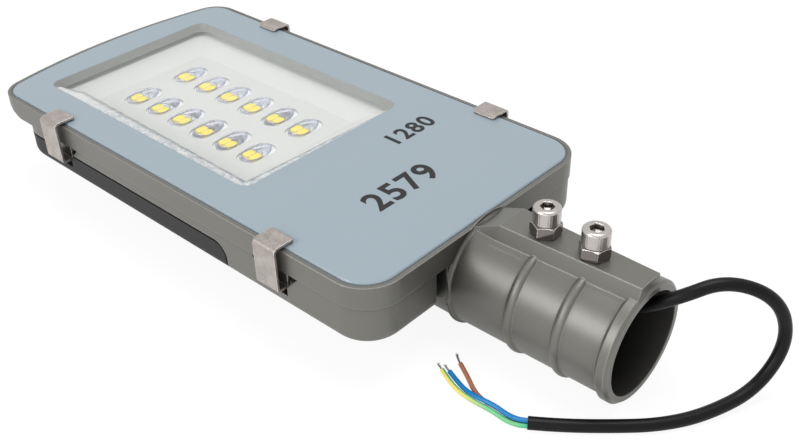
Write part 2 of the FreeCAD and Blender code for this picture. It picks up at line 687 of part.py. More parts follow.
def make_clip(label, x, side):
    """A bent spring strip: lip on the glass, leg down the wall, folded hook under the band."""
    body = new_body(label, x="-" + x, turn=0.0 if side > 0 else 180.0)
    leg_top = "(body_width / 2 + clip_stand)"
    leg_low = "(%s - clip_lean)" % leg_top
    inner_low = "(%s - clip_sheet)" % leg_low
    lift = "(clip_lift + clip_sheet)"
    low, low_in = "-clip_drop", "(-clip_drop + clip_sheet)"
    fold_out, fold_in = "(%s - clip_fold)" % leg_low, "(%s - clip_fold + clip_sheet)" % leg_low
    reach = "(body_width / 2 - clip_hold)"
    hook = "-(band_height + clip_play)"
    profile = new_sketch(body, "YZ_Plane", "-clip_wide / 2")
    outline(profile, [
        (reach, "glass_stand + clip_sheet"), (reach + " + 2", lift), (leg_top, lift),
        (leg_low, low), (fold_out, low), (fold_out, hook), (fold_in, hook), (fold_in, low_in),
        (inner_low, low_in), (leg_top + " - clip_sheet", "clip_lift"),
        (reach + " + 2.3", "clip_lift"), (reach + " + 0.3", "glass_stand + 0.05")])
    pad(body, profile, "clip_wide", down=False)
    tip = value_of(reach)
    round_edges(body, lambda e: e.BoundBox.XLength < 1e-3 and e.BoundBox.YMin < tip + 0.31
                and e.BoundBox.YMax < tip + 0.31, "clip_corner")
    for radius, corners in (("clip_bend", [(leg_top, lift)]),
                            ("clip_bend - clip_sheet", [(leg_top + " - clip_sheet", "clip_lift")]),
                            ("clip_hem", [(leg_low, low), (fold_out, low)]),
                            ("clip_hem - clip_sheet", [(fold_in, low_in), (inner_low, low_in)])):
        spots = [(value_of(y), value_of(z)) for y, z in corners]
        round_edges(body, lambda e: along_x(e, spots), radius)
    return body


# Simple shapes that the inner pieces are made from

TURNS = {"Z": Rotation(), "X": Rotation(Vector(0, 1, 0), 90)}


def solid(kind, name, x="0", y="0", z="0", axis="Z", **sizes):
    """A box, cylinder, cone, prism or ellipsoid, placed from the datum, along Z or X."""
    piece = doc.addObject("Part::" + kind, name)
    piece.Placement = Placement(Vector(0, 0, 0), TURNS[axis])
    for letter, text in zip("xyz", (x, y, z)):
        bind(piece, "Placement.Base." + letter, text)
    for prop, text in sizes.items():
        bind(piece, prop, text)
    return piece


def fuse(name, pieces):
    made = doc.addObject("Part::MultiFuse", name)
    made.Shapes = pieces
    return made


def cut(name, base, tool):
    made = doc.addObject("Part::Cut", name)
    made.Base = base
    made.Tool = tool
    return made


def gather(label, pieces):
    """Like pieces that share one node, as separate solids."""
    group = doc.addObject("Part::Compound", label)
    group.Links = pieces
    return group


def finish(piece, label):
    piece.Label = label
    place(piece)
    return piece


def corner_reach(across):
    return "%s / 2 / cos(30)" % across


def make_screw(name, x, y, seat, thread, grip, head, tall, key):
    """A screw standing along Z, its head on a seat, with a six-sided socket."""
    top = "%s + %s" % (seat, tall)
    knob = solid("Cylinder", name + "_head", x, y, seat, Radius=head + " / 2", Height=tall)
    shank = solid("Cylinder", name + "_shank", x, y, "%s - (%s)" % (seat, grip),
                  Radius=thread + " / 2 - thread_slack", Height=grip)
    socket = solid("Prism", name + "_key", x, y, "%s - %s * 0.55" % (top, tall),
                   Circumradius=corner_reach(key), Height=tall)
    return cut(name, fuse(name + "_blank", [knob, shank]), socket)


def make_plate(label, x0, x1, half_width, corner, top, thick):
    body = new_body(label, z="-(%s)" % top)
    plan = new_sketch(body, "XY_Plane")
    rounded_box(plan, x0, x1, half_width, corner)
    pad(body, plan, thick)
    return body


# Reflector tray, lamp board, light sources and lenses

def window_box(sketch, length, width, corner, edge="0"):
    """A box with round corners about the middle of the window, larger by an edge all round."""
    half = "(%s / 2 + %s)" % (length, edge)
    rounded_box(sketch, "-window_middle - %s" % half, "-window_middle + %s" % half,
                "%s / 2 + %s" % (width, edge), "%s + %s" % (corner, edge))


def tray_levels(body, edge, drop, start):
    """Three outlines down the tray's wall: two at the window, one round the pan."""
    levels = []
    for depth, name in ((start, "window"), ("glass_thick + tray_collar + " + drop, "window"),
                        ("tray_floor + " + drop, "pan")):
        section = new_sketch(body, "XY_Plane", "-(%s)" % depth)
        window_box(section, name + "_length", name + "_width", name + "_corner", edge)
        levels.append(section)
    return levels


def make_reflector():
    body = new_body("reflector")
    seat = "glass_thick + tray_play"
    flange = new_sketch(body, "XY_Plane", "-(%s)" % seat)
    window_box(flange, "window_length", "window_width", "window_corner", "tray_flange")
    pad(body, flange, "tray_sheet")
    loft(body, tray_levels(body, "tray_sheet", "tray_sheet", seat))
    loft(body, tray_levels(body, "0", "0", seat + " - 1"), cut=True)
    first = "-window_middle - (led_count - 1) * led_pitch / 2"
    wide, tall = "(lens_wide / 2 + lens_play)", "(lens_long / 2 + lens_play)"
    holes = new_sketch(body, "XY_Plane", "-tray_floor")
    for side in "-+":
        middle = "%sled_rows / 2" % side
        outline(holes, [("%s - %s" % (first, wide), "%s - %s" % (middle, tall), wide + " * 0.96"),
                        ("%s + %s" % (first, wide), "%s - %s" % (middle, tall), wide + " * 0.96"),
                        ("%s + %s" % (first, wide), "%s + %s" % (middle, tall), wide + " * 0.96"),
                        ("%s - %s" % (first, wide), "%s + %s" % (middle, tall), wide + " * 0.96")])
    opened = pocket(body, holes, "tray_sheet + 1")
    row = body.newObject("PartDesign::LinearPattern", "reflector_holes")
    row.Originals = [opened]
    row.Direction = (plane(body, "X_Axis"), [""])
    bind(row, "Length", "(led_count - 1) * led_pitch")
    bind(row, "Occurrences", "led_count")
    body.Tip = row
    doc.recompute()
    return body


def board_plate(label, top, thick):
    half = "board_length / 2"
    body = make_plate(label, "-window_middle - " + half, "-window_middle + " + half,
                      "board_width / 2", "board_corner", top, thick)
    holes = new_sketch(body, "XY_Plane")
    for x, y in board_screw_spots():
        circle(holes, x, y, "small_screw / 2 + thread_play")
    pocket(body, holes, thick)
    return body


BOARD_TOP = "floor_depth - pad_thick - board_thick"
SMALL_HEAD = ("small_head", "small_head_tall", "small_key")


def lamp_spots():
    count = int(cell("led_count"))
    xs = ["-window_middle + (%d - (led_count - 1) / 2) * led_pitch" % i for i in range(count)]
    return [(x, "%sled_rows / 2" % side) for side in "-+" for x in xs]


def make_light_unit():
    pieces = [make_reflector(), board_plate("thermal_pad", "floor_depth - pad_thick", "pad_thick"),
              board_plate("led_board", BOARD_TOP, "board_thick")]
    top = "-(%s)" % BOARD_TOP
    chips = []
    for i, (x, y) in enumerate(lamp_spots()):
        chips.append(solid("Box", "chip_%d" % i, "%s - chip_side / 2" % x, "%s - chip_side / 2" % y,
                           top, Length="chip_side", Width="chip_side", Height="chip_thick"))
        name = "lens_%02d" % (i + 1)
        dome = solid("Ellipsoid", name + "_dome", x, y, top, Radius1="lens_tall",
                     Radius2="lens_wide / 2", Radius3="lens_long / 2")
        dome.Angle1, dome.Angle2 = 0, 90
        hollow = solid("Cylinder", name + "_cell", x, y, top, Radius="lens_cell",
                       Height="lens_cell_tall")
        pieces.append(finish(cut(name, dome, hollow), name))
    pieces.append(finish(gather("led_chips", chips), "led_chips"))
    fixings = [make_screw("board_screw_%d" % i, x, y, top, "small_screw",
                          "board_thick + pad_thick + board_screw_grip", *SMALL_HEAD)
               for i, (x, y) in enumerate(board_screw_spots())]
    pieces.append(finish(gather("board_screws", fixings), "board_screws"))
    bolts = [make_screw("sink_screw_%d" % i, x, y, "-floor_depth", "sink_screw",
                        "floor_thick + sink_screw_grip",
                        "sink_screw_head", "sink_head_tall", "sink_key")
             for i, (x, y) in enumerate(sink_screw_spots())]
    pieces.append(finish(gather("sink_screws", bolts), "sink_screws"))
    return pieces


# Driver, its fixing screws and the inner leads

def make_driver():
    half = "driver_length / 2"
    body = make_plate("led_driver", "-driver_middle - " + half, "-driver_middle + " + half,
                      "driver_width / 2", "driver_corner", "driver_top", "driver_tall")
    round_edges(body, lambda e: level(e, 0.0), "driver_bevel")
    floor = "body_depth - bay_floor - ear_thick - driver_top"
    ears = new_sketch(body, "XY_Plane", "-(%s)" % floor)
    for side in "-+":
        middle = "-driver_middle %s (driver_length / 2 - ear_length / 2)" % side
        rounded_box(ears, middle + " - ear_length / 2", middle + " + ear_length / 2",
                    "ear_width / 2", "driver_corner")
    pad(body, ears, "ear_thick")
    holes = new_sketch(body, "XY_Plane", "-(%s)" % floor)
    for x, y in ear_screw_spots():
        circle(holes, x, y, "small_screw / 2 + thread_play")
    pocket(body, holes, "ear_thick")
    seat = "-(body_depth - bay_floor - ear_thick)"
    screws = [make_screw("driver_screw_%d" % i, x, y, seat, "small_screw",
                         "ear_thick + ear_screw_grip", *SMALL_HEAD)
              for i, (x, y) in enumerate(ear_screw_spots())]
    return [body, finish(gather("driver_screws", screws), "driver_screws")]


# Cable gland in the wall at the bottom of the socket

WALL = "end_wall / 2"
GLAND_LEVEL = "-axis_drop + gland_lift"
GLAND_NOSE = "(end_wall / 2 + gland_flange + gland_cap)"
STUB_END = "(end_wall / 2 + gland_nut_thick + 1)"


def along_bore(kind, name, x, **sizes):
    return solid(kind, name, x, "0", GLAND_LEVEL, axis="X", **sizes)


def make_gland():
    hexagon = corner_reach("gland_across")
    bore = "lead_size / 2 + lead_play"
    flange = along_bore("Prism", "gland_flange", WALL, Circumradius=hexagon, Height="gland_flange")
    stub = along_bore("Cylinder", "gland_stub", "-" + STUB_END, Radius="gland_thread / 2",
                      Height=STUB_END + " + " + WALL)
    through = along_bore("Cylinder", "gland_bore", "-" + STUB_END, Radius=bore,
                         Height="gland_flange + gland_cap + 2 * end_wall")
    body = finish(cut("gland_body", fuse("gland_blank", [flange, stub]), through), "gland_body")

    nut_start = "-(%s + gland_nut_thick)" % WALL
    ring = along_bore("Prism", "locknut_ring", nut_start, Height="gland_nut_thick",
                      Circumradius=corner_reach("(gland_across + 2)"))
    inside = along_bore("Cylinder", "locknut_bore", nut_start, Height="gland_nut_thick",
                        Radius="gland_thread / 2 + thread_slack")
    locknut = finish(cut("gland_locknut", ring, inside), "gland_locknut")

    cap_start = "%s + gland_flange" % WALL
    grip = along_bore("Prism", "cap_grip", cap_start, Circumradius=hexagon,
                      Height="gland_cap * 0.55")
    dome = along_bore("Cone", "cap_dome", cap_start + " + gland_cap * 0.55",
                      Radius1="gland_across / 2", Radius2="lead_size / 2 + 1.6",
                      Height="gland_cap * 0.45")
    room = along_bore("Cylinder", "cap_room", cap_start, Radius="seal_size / 2 + thread_slack",
                      Height="gland_cap - 1")
    nose = along_bore("Cylinder", "cap_nose", cap_start, Radius=bore, Height="gland_cap + 1")
    cap = finish(cut("gland_nut", fuse("cap_blank", [grip, dome]), fuse("cap_hollow", [room, nose])),
                 "gland_nut")

    collar = along_bore("Cylinder", "seal_collar", cap_start + " + 0.1", Radius="seal_size / 2",
                        Height="gland_cap - 1.2")
    eye = along_bore("Cylinder", "seal_eye", cap_start, Radius=bore, Height="gland_cap")
    seal = finish(cut("gland_seal", collar, eye), "gland_seal")
    return [body, locknut, cap, seal]


# Clamping screws over the boss, each with a lock nut

def make_clamp(number, x):
    nut_top = "boss_rise + nut_tall"
    socket = solid("Prism", "bolt_key_%d" % number, x, "0", nut_top + " + head_tall - key_deep",
                   Circumradius=corner_reach("key_across"), Height="key_deep + 1")
    tip = "-axis_drop + bore_radius - bolt_reach"
    blank = [
        solid("Cylinder", "bolt_head_%d" % number, x, "0", nut_top, Radius="head_wide / 2",
              Height="head_tall - head_bevel"),
        solid("Cone", "bolt_bevel_%d" % number, x, "0", nut_top + " + head_tall - head_bevel",
              Radius1="head_wide / 2", Radius2="head_wide / 2 - head_bevel", Height="head_bevel"),
        solid("Cylinder", "bolt_shank_%d" % number, x, "0", tip, Radius="bolt_thread / 2",
              Height="%s - (%s)" % (nut_top, tip))]
    bolt = cut("clamp_bolt_%d" % number, fuse("bolt_blank_%d" % number, blank), socket)
    ring = solid("Prism", "nut_ring_%d" % number, x, "0", "boss_rise",
                 Circumradius=corner_reach("nut_across"), Height="nut_tall")
    eye = solid("Cylinder", "nut_eye_%d" % number, x, "0", "boss_rise",
                Radius="bolt_thread / 2 + thread_slack", Height="nut_tall")
    nut = cut("lock_nut_%d" % number, ring, eye)
    return [finish(bolt, "clamp_bolt_%d" % number), finish(nut, "lock_nut_%d" % number)]


# Leads: tubes of straight runs joined by tangent arcs

def tube(label, points, thick):
    """A round tube along a route; each arc's radius is 0.45 of its shorter run over tan(turn / 2)."""
    spots = [Vector(*p) for p in points]
    edges, radii, last = [], [], spots[0]
    for back, here, on in zip(spots, spots[1:], spots[2:]):
        into, out = here - back, on - here
        reach = 0.45 * min(into.Length, out.Length)
        half = into.getAngle(out) / 2
        start = here - into.normalize() * reach
        end = here + out.normalize() * reach
        radius = reach / math.tan(half)
        bulge = radius / math.cos(half) - radius
        middle = here + (out - into).normalize() * bulge
        edges += [Part.LineSegment(last, start).toShape(), Part.Arc(start, middle, end).toShape()]
        radii.append(round(radius, 1))
        last = end
    edges.append(Part.LineSegment(last, spots[-1]).toShape())
    path = Part.Wire(edges)
    ring = Part.Wire([Part.makeCircle(thick / 2, spots[0], spots[1] - spots[0])])
    shape = path.makePipeShell([ring], True, False)
    section = math.pi * thick ** 2 / 4
    print("%s: arcs %s, length %.1f, volume over section times length %.4f"
          % (label, radii, path.Length, shape.Volume / (section * path.Length)))
    piece = doc.addObject("Part::Feature", label)
    piece.Shape = shape
    place(piece)
    return piece


# Routes from the datum: the supply lead leaves the gland's nose, rises out of the mouth,
# turns down to the ground and runs back beside the socket. Its three cores fan out there.
SUPPLY_ROUTE = (
    (17.0, 0.0, -24.1), (30.0, 0.0, -24.1), (51.0, 1.5, -20.4), (76.5, 5.6, -18.2),
    (95.4, 9.3, -4.3), (108.9, 26.3, 2.9), (127.6, 41.3, -6.7), (133.9, 46.9, -31.1),
    (129.8, 32.0, -52.3), (119.4, 5.7, -55.4), (107.2, -13.2, -55.4), (90.6, -28.7, -55.4),
    (73.5, -42.8, -55.4), (63.1, -49.8, -55.4))
CORE_ROUTES = {
    "core_green_yellow": (
        (63.8, -50.85, -56.1), (60.5, -53.1, -56.1), (54.0, -53.5, -57.35), (45.5, -52.7, -57.35),
        (36.8, -53.4, -57.35), (27.8, -53.2, -57.35), (19.3, -50.7, -57.35), (11.5, -46.9, -57.35)),
    "core_blue": (
        (63.1, -49.8, -54.0), (59.8, -52.0, -54.0), (53.5, -51.8, -55.3), (45.4, -50.9, -55.3),
        (37.5, -51.9, -55.3), (29.0, -50.6, -57.1), (21.3, -48.0, -57.35), (14.8, -45.4, -57.35)),
    "core_brown": (
        (62.4, -48.9, -56.1), (59.1, -51.1, -56.1), (53.0, -50.5, -57.35), (45.3, -49.5, -57.35),
        (38.5, -50.2, -57.35), (31.5, -48.0, -57.35), (23.5, -42.6, -57.35), (15.3, -38.0, -57.35))}
TIP_ROUTES = {
    "conductor_green_yellow": ((11.5, -46.9, -57.35), (7.0, -44.7, -57.35)),
    "conductor_blue": ((14.8, -45.4, -57.35), (10.2, -43.5, -57.35)),
    "conductor_brown": ((15.3, -38.0, -57.35), (12.3, -36.3, -57.35), (9.6, -33.9, -57.2))}


def make_leads():
    pieces = [tube("supply_lead", SUPPLY_ROUTE, cell("lead_size"))]
    pieces += [tube(label, route, cell("core_size")) for label, route in CORE_ROUTES.items()]
    pieces += [tube(label, route, cell("strand_size")) for label, route in TIP_ROUTES.items()]

    start = "-(driver_middle - driver_length / 2)"
    sheath = along_bore("Cylinder", "driver_lead_sheath", start, Radius="lead_size / 2",
                        Height="%s - %s" % (GLAND_NOSE, start))
    pieces.append(finish(gather("driver_lead", [sheath]), "driver_lead"))

    over = "-(ledge_depth - wire_size * 1.5)"
    route = (("-(driver_middle + driver_length / 2)", "-(driver_top + 3)"),
             ("-(driver_middle + driver_length / 2 + 3.6)", "-(driver_top + 3)"),
             ("-(bay_far - 3.6)", over + " + 0.3"), ("-(deep_near + 1.2)", over),
             ("-(deep_near + 5.8)", "-(floor_depth - pad_thick - 1.2)"),
             ("-(window_middle - board_length / 2)", "-(%s + board_thick / 2)" % BOARD_TOP))
    for label, side in (("dc_lead_red", 1), ("dc_lead_black", -1)):
        y = side * 2 * cell("wire_size")
        spots = [(value_of(x), y, value_of(z)) for x, z in route]
        pieces.append(tube(label, spots, cell("wire_size")))
    return pieces


def build_all():
    pieces = [make_housing(), make_heat_sink(), make_cover_glass(), make_glass_gasket()]
    spots = (("clip_far", -1), ("clip_near", -1), ("clip_far", 1), ("clip_near", 1))
    for number, (x, side) in enumerate(spots, start=1):
        pieces.append(make_clip("glass_clip_%d" % number, x, side))
    pieces += make_light_unit() + make_driver() + make_gland()
    pieces += make_clamp(1, "bolt_first") + make_clamp(2, "bolt_first + bolt_pitch")
    return pieces + make_leads()


pieces = build_all()
doc.recompute()
failed = [thing.Name for thing in doc.Objects
          if "Invalid" in thing.State or "Error" in thing.State]
if failed:
    raise RuntimeError("not made: %s" % ", ".join(failed))
for piece in pieces:
    if piece.Shape.isNull() or not piece.Shape.isValid():
        raise RuntimeError("%s has no valid shape" % piece.Label)
for piece in pieces:
    piece.Shape.exportStep("parts/%s.step" % piece.Label)
    print("%s: %d solid(s), %.2f cm3" % (piece.Label, len(piece.Shape.Solids), piece.Shape.Volume / 1000))
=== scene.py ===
import math

import bmesh
import bpy
from mathutils import Matrix, Vector


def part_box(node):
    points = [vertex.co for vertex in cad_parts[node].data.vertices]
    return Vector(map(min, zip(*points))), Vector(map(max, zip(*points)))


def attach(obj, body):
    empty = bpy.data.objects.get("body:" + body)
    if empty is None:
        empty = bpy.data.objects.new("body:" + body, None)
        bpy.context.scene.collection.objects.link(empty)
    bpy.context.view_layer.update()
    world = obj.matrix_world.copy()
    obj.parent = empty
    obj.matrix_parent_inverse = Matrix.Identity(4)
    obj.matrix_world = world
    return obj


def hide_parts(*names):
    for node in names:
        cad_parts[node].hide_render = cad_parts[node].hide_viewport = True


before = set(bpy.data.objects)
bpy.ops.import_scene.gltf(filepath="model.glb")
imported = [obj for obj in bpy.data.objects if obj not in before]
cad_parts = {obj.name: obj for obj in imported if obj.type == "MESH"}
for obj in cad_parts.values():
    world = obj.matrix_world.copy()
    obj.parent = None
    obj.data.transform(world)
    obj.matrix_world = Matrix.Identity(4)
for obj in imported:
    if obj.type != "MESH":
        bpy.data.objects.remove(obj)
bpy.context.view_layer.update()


# The housing
# One die casting holds the arched head and the socket for the pole's arm. It is shot blasted and
# coated in a warm grey satin powder, whose orange peel shows in the soft highlight of the socket.

def add(tree, kind, inputs=None, **settings):
    """One node, with its settings and its inputs set to values or joined to sockets."""
    made = tree.nodes.new(kind)
    for key, value in settings.items():
        setattr(made, key, value)
    for name, value in (inputs or {}).items():
        if isinstance(value, bpy.types.NodeSocket):
            tree.links.new(value, made.inputs[name])
        else:
            made.inputs[name].default_value = value
    return made


def colour(red, green, blue):
    """A colour as the eye reads it, from 0 to 255, as the linear one that a shader takes."""
    parts = [part / 255 for part in (red, green, blue)]
    return tuple(p / 12.92 if p < 0.04045 else ((p + 0.055) / 1.055) ** 2.4 for p in parts) + (1,)


def new_group(name, inputs, outputs):
    """An empty node group with its named inputs and outputs, and its two end nodes."""
    group = bpy.data.node_groups.new(name, "ShaderNodeTree")
    for label, value in inputs.items():
        kind = "NodeSocketColor" if isinstance(value, tuple) else "NodeSocketFloat"
        group.interface.new_socket(label, in_out="INPUT", socket_type=kind).default_value = value
    for label, kind in outputs.items():
        group.interface.new_socket(label, in_out="OUTPUT", socket_type=kind)
    return group, group.nodes.new("NodeGroupInput").outputs, group.nodes.new("NodeGroupOutput").inputs


def new_material(name):
    """A material with its shader, and the tree that the shader stands in."""
    material = bpy.data.materials.new(name)
    material.use_nodes = True
    return material, material.node_tree, material.node_tree.nodes["Principled BSDF"]


def join(tree, source, target):
    tree.links.new(source, target)


def dress(material, *names):
    """Gives a material to every slot of the CAD nodes that are named."""
    for name in names:
        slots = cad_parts[name].data.materials
        for index in range(len(slots)):
            slots[index] = material


def make_tint_group():
    """Slow cloudy change of a colour, with fine specks in it, as a coated or cast skin has."""
    group, given, out = new_group(
        "surface_tint",
        {"Color": (0.5, 0.5, 0.5, 1.0), "Cloud Size": 0.05, "Cloud": 0.1, "Speck Size": 0.001,
         "Speck": 0.05},
        {"Color": "NodeSocketColor"})
    place = add(group, "ShaderNodeTexCoord").outputs["Object"]
    marks = []
    for size, detail in (("Cloud Size", 3.0), ("Speck Size", 1.0)):
        scale = add(group, "ShaderNodeMath", {0: 1.0, 1: given[size]}, operation="DIVIDE")
        marks.append(add(group, "ShaderNodeTexNoise",
                         {"Vector": place, "Scale": scale.outputs[0], "Detail": detail}).outputs["Fac"])
    shade = 1.0
    for mark, amount in zip(marks, ("Cloud", "Speck")):
        centred = add(group, "ShaderNodeMath", {0: mark, 1: 0.5}, operation="SUBTRACT")
        scaled = add(group, "ShaderNodeMath", {0: centred.outputs[0], 1: given[amount], 2: shade},
                     operation="MULTIPLY_ADD")
        shade = scaled.outputs[0]
    tinted = add(group, "ShaderNodeVectorMath", {0: given["Color"], "Scale": shade}, operation="SCALE")
    join(group, tinted.outputs[0], out["Color"])
    return group


def make_grain_group():
    """The height of a fine grain: small round hills, as orange peel or the skin of a mould has."""
    group, given, out = new_group("fine_grain", {"Grain Size": 0.001, "Roughen": 0.5},
                                  {"Height": "NodeSocketFloat"})
    place = add(group, "ShaderNodeTexCoord").outputs["Object"]
    scale = add(group, "ShaderNodeMath", {0: 1.0, 1: given["Grain Size"]}, operation="DIVIDE")
    hills = add(group, "ShaderNodeTexNoise", {"Vector": place, "Scale": scale.outputs[0],
                                              "Detail": 2.0, "Roughness": given["Roughen"]})
    join(group, hills.outputs["Fac"], out["Height"])
    return group


def make_edge_group():
    """A mask that is 1 on outer edges, for a painted highlight, and 0 elsewhere; and the normal of edges
    rounded to Radius.
    """
    group, given, out = new_group("rounded_edge_highlight", {"Radius": 0.0006, "Sharpness": 6.0},
                                  {"Edge": "NodeSocketFloat", "Normal": "NodeSocketVector"})
    rounded = add(group, "ShaderNodeBevel", {"Radius": given["Radius"]}, samples=4)
    flat = add(group, "ShaderNodeNewGeometry").outputs["Normal"]
    agree = add(group, "ShaderNodeVectorMath", {0: rounded.outputs[0], 1: flat}, operation="DOT_PRODUCT")
    apart = add(group, "ShaderNodeMath", {0: 1.0, 1: agree.outputs["Value"]}, operation="SUBTRACT")
    mask = add(group, "ShaderNodeMath", {0: apart.outputs[0], 1: given["Sharpness"]},
               operation="MULTIPLY", use_clamp=True)
    join(group, mask.outputs[0], out["Edge"])
    join(group, rounded.outputs[0], out["Normal"])
    return group


def make_hollow_group():
    """A colour that darkens in hollows, where little of the studio's light comes in."""
    group, given, out = new_group(
        "hollow_shade", {"Color": (0.5, 0.5, 0.5, 1.0), "Reach": 0.02, "Depth": 1.0},
        {"Color": "NodeSocketColor"})
    light = add(group, "ShaderNodeAmbientOcclusion", {"Distance": given["Reach"]}, samples=8,
                only_local=True)
    shade = add(group, "ShaderNodeMath", {0: light.outputs["AO"], 1: given["Depth"]}, operation="POWER")
    shaded = add(group, "ShaderNodeVectorMath", {0: given["Color"], "Scale": shade.outputs[0]},
                 operation="SCALE")
    join(group, shaded.outputs[0], out["Color"])
    return group


surface_tint = make_tint_group()
fine_grain = make_grain_group()
rounded_edge_highlight = make_edge_group()
hollow_shade = make_hollow_group()


def coated_metal(name, base, edge, roughness, edge_radius, grain_size, grain_depth, cloud=0.08,
                 cloud_size=0.04, metallic=0.0, hollow=0.0, reach=0.02):
    """A coated or bare casting: tinted colour, a painted highlight on its edges, and a fine grain.

    Cloud is how far the colour drifts, hollow how much painted shade darkens it where faces stand within
    reach.
    """
    material, tree, shader = new_material(name)
    tint = add(tree, "ShaderNodeGroup", node_tree=surface_tint)
    tint.inputs["Color"].default_value = base
    tint.inputs["Cloud Size"].default_value = cloud_size
    tint.inputs["Cloud"].default_value = cloud
    tint.inputs["Speck Size"].default_value = grain_size
    tint.inputs["Speck"].default_value = cloud
    edges = add(tree, "ShaderNodeGroup", node_tree=rounded_edge_highlight)
    edges.inputs["Radius"].default_value = edge_radius
    # Painted highlight: the edge colour is mixed in where the edge mask is 1.
    mixed = add(tree, "ShaderNodeMix", {"Factor": edges.outputs["Edge"]}, data_type="RGBA")
    join(tree, tint.outputs["Color"], mixed.inputs["A"])
    mixed.inputs["B"].default_value = edge
    grain = add(tree, "ShaderNodeGroup", node_tree=fine_grain)
    grain.inputs["Grain Size"].default_value = grain_size
    bump = add(tree, "ShaderNodeBump", {"Height": grain.outputs["Height"], "Strength": 0.6,
                                        "Distance": grain_depth, "Normal": edges.outputs["Normal"]})
    skin = mixed.outputs["Result"]
    # Painted shade: the colour is darkened in hollows by ambient occlusion.
    if hollow:
        shade = add(tree, "ShaderNodeGroup", node_tree=hollow_shade)
        shade.inputs["Reach"].default_value = reach
        shade.inputs["Depth"].default_value = hollow
        join(tree, skin, shade.inputs["Color"])
        skin = shade.outputs["Color"]
    join(tree, skin, shader.inputs["Base Color"])
    join(tree, bump.outputs["Normal"], shader.inputs["Normal"])
    shader.inputs["Roughness"].default_value = roughness
    shader.inputs["Metallic"].default_value = metallic
    return material


# The second colour of each coated_metal is a painted highlight on its edges; where it equals the first,
# none shows.
housing_coat = coated_metal("housing_coat", colour(118, 117, 112), colour(166, 165, 161),
                            roughness=0.38, edge_radius=0.0009, grain_size=0.0007, grain_depth=0.00006,
                            cloud=0.12, metallic=0.6, hollow=1.4, reach=0.06)
dress(housing_coat, "housing")


# The driver and its gland
# A sealed metal case in the bay under the nose holds the driver. Its lead leaves the bay through a
# nylon gland at the bottom of the socket.

driver_metal = coated_metal("driver_metal", colour(176, 178, 180), colour(196, 198, 200), roughness=0.4,
                            edge_radius=0.0005, grain_size=0.0007, grain_depth=0.00002, metallic=0.7)
dress(driver_metal, "led_driver")
gland_nylon = coated_metal("gland_nylon", colour(38, 38, 40), colour(52, 52, 54), roughness=0.5,
                           edge_radius=0.0003, grain_size=0.0005, grain_depth=0.00002)
dress(gland_nylon, "gland_body", "gland_locknut", "gland_nut")


# The heat sink
# A second die casting, cast open with fins, that closes the back of the head and carries the board.
# It is anodised dark, a shade warmer than black, and dull.

sink_finish = coated_metal("sink_finish", colour(26, 25, 26), colour(50, 49, 50), roughness=0.6,
                           edge_radius=0.0005, grain_size=0.0007, grain_depth=0.00003, hollow=1.2)
dress(sink_finish, "heat_sink")
pad_material = coated_metal("pad_silicone", colour(150, 152, 156), colour(150, 152, 156), roughness=0.8,
                            edge_radius=0.0001, grain_size=0.0006, grain_depth=0.00002)
dress(pad_material, "thermal_pad")


# The lamp board
# A metal-cored board screwed to the heat sink, with twelve chips in two rows. Yellow phosphor fills
# each chip, and its lens shows it as two fields.

board_mask = coated_metal("board_mask", colour(246, 247, 248), colour(246, 247, 248), roughness=0.4,
                          edge_radius=0.0002, grain_size=0.001, grain_depth=0.00001)
dress(board_mask, "led_board")
phosphor = coated_metal("phosphor_fill", colour(254, 232, 60), colour(252, 244, 170), roughness=0.35,
                        edge_radius=0.0009, grain_size=0.0012, grain_depth=0.00003, cloud=0.12)
chip_base = coated_metal("chip_base", colour(244, 222, 206), colour(244, 222, 206), roughness=0.5,
                         edge_radius=0.0002, grain_size=0.0008, grain_depth=0.00001)
BOARD_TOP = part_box("led_board")[1].z
LENS_NODES = ["lens_%02d" % number for number in range(1, 13)]
LAMP_SPOTS = [(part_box(name)[0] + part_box(name)[1]) / 2 for name in LENS_NODES]
LUMP_HALF = Vector((0.0026, 0.0037))
LUMP_SHIFT = Vector((0.0028, -0.003))
LUMP_TALL = 0.0014
PLATE_HALF = LUMP_HALF * 1.12 + Vector((LUMP_SHIFT.x, 0))
PLATE_TALL = 0.0004


def finished(name, mesh, material, slot, *replaced):
    """A piece that rides on the head, with its finish and the CAD nodes that it stands for."""
    piece = bpy.data.objects.new(name, mesh)
    bpy.context.scene.collection.objects.link(piece)
    mesh.materials.append(material)
    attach(piece, "root")
    if replaced:
        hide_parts(*replaced)
    return piece


def mesh_of(name, form, smooth=False):
    """A mesh from what was built, with its faces turned outward."""
    bmesh.ops.recalc_face_normals(form, faces=form.faces)
    for face in form.faces:
        face.smooth = smooth
    mesh = bpy.data.meshes.new(name)
    form.to_mesh(mesh)
    form.free()
    return mesh


def loft_rings(form, rings, material=0, hollow=False):
    """Faces from each ring of points to the next; the ends are closed, or joined to each other."""
    loops = [[form.verts.new(point) for point in ring] for ring in rings]
    pairs = list(zip(loops, loops[1:]))
    if hollow:
        pairs.append((loops[-1], loops[0]))
    else:
        form.faces.new(loops[0]).material_index = material
        form.faces.new(loops[-1]).material_index = material
    for one, two in pairs:
        for index in range(len(one)):
            on = (index + 1) % len(one)
            face = form.faces.new((one[index], one[on], two[on], two[index]))
            face.material_index = material


def pillow(form, middle, half, low, tall, material, steps=28, squareness=5):
    """A low cushion with a nearly square plan and a rounded top."""
    rings = []
    for spread, rise in ((1.0, 0.0), (1.0, 0.55), (0.94, 0.85), (0.8, 0.97), (0.4, 1.0)):
        ring = []
        for step in range(steps):
            turn = 2 * math.pi * step / steps
            side = Vector((math.cos(turn), math.sin(turn)))
            reach = spread / (abs(side.x) ** squareness + abs(side.y) ** squareness) ** (1 / squareness)
            ring.append((middle.x + half.x * side.x * reach, middle.y + half.y * side.y * reach,
                         low + tall * rise))
        rings.append(ring)
    loft_rings(form, rings, material)


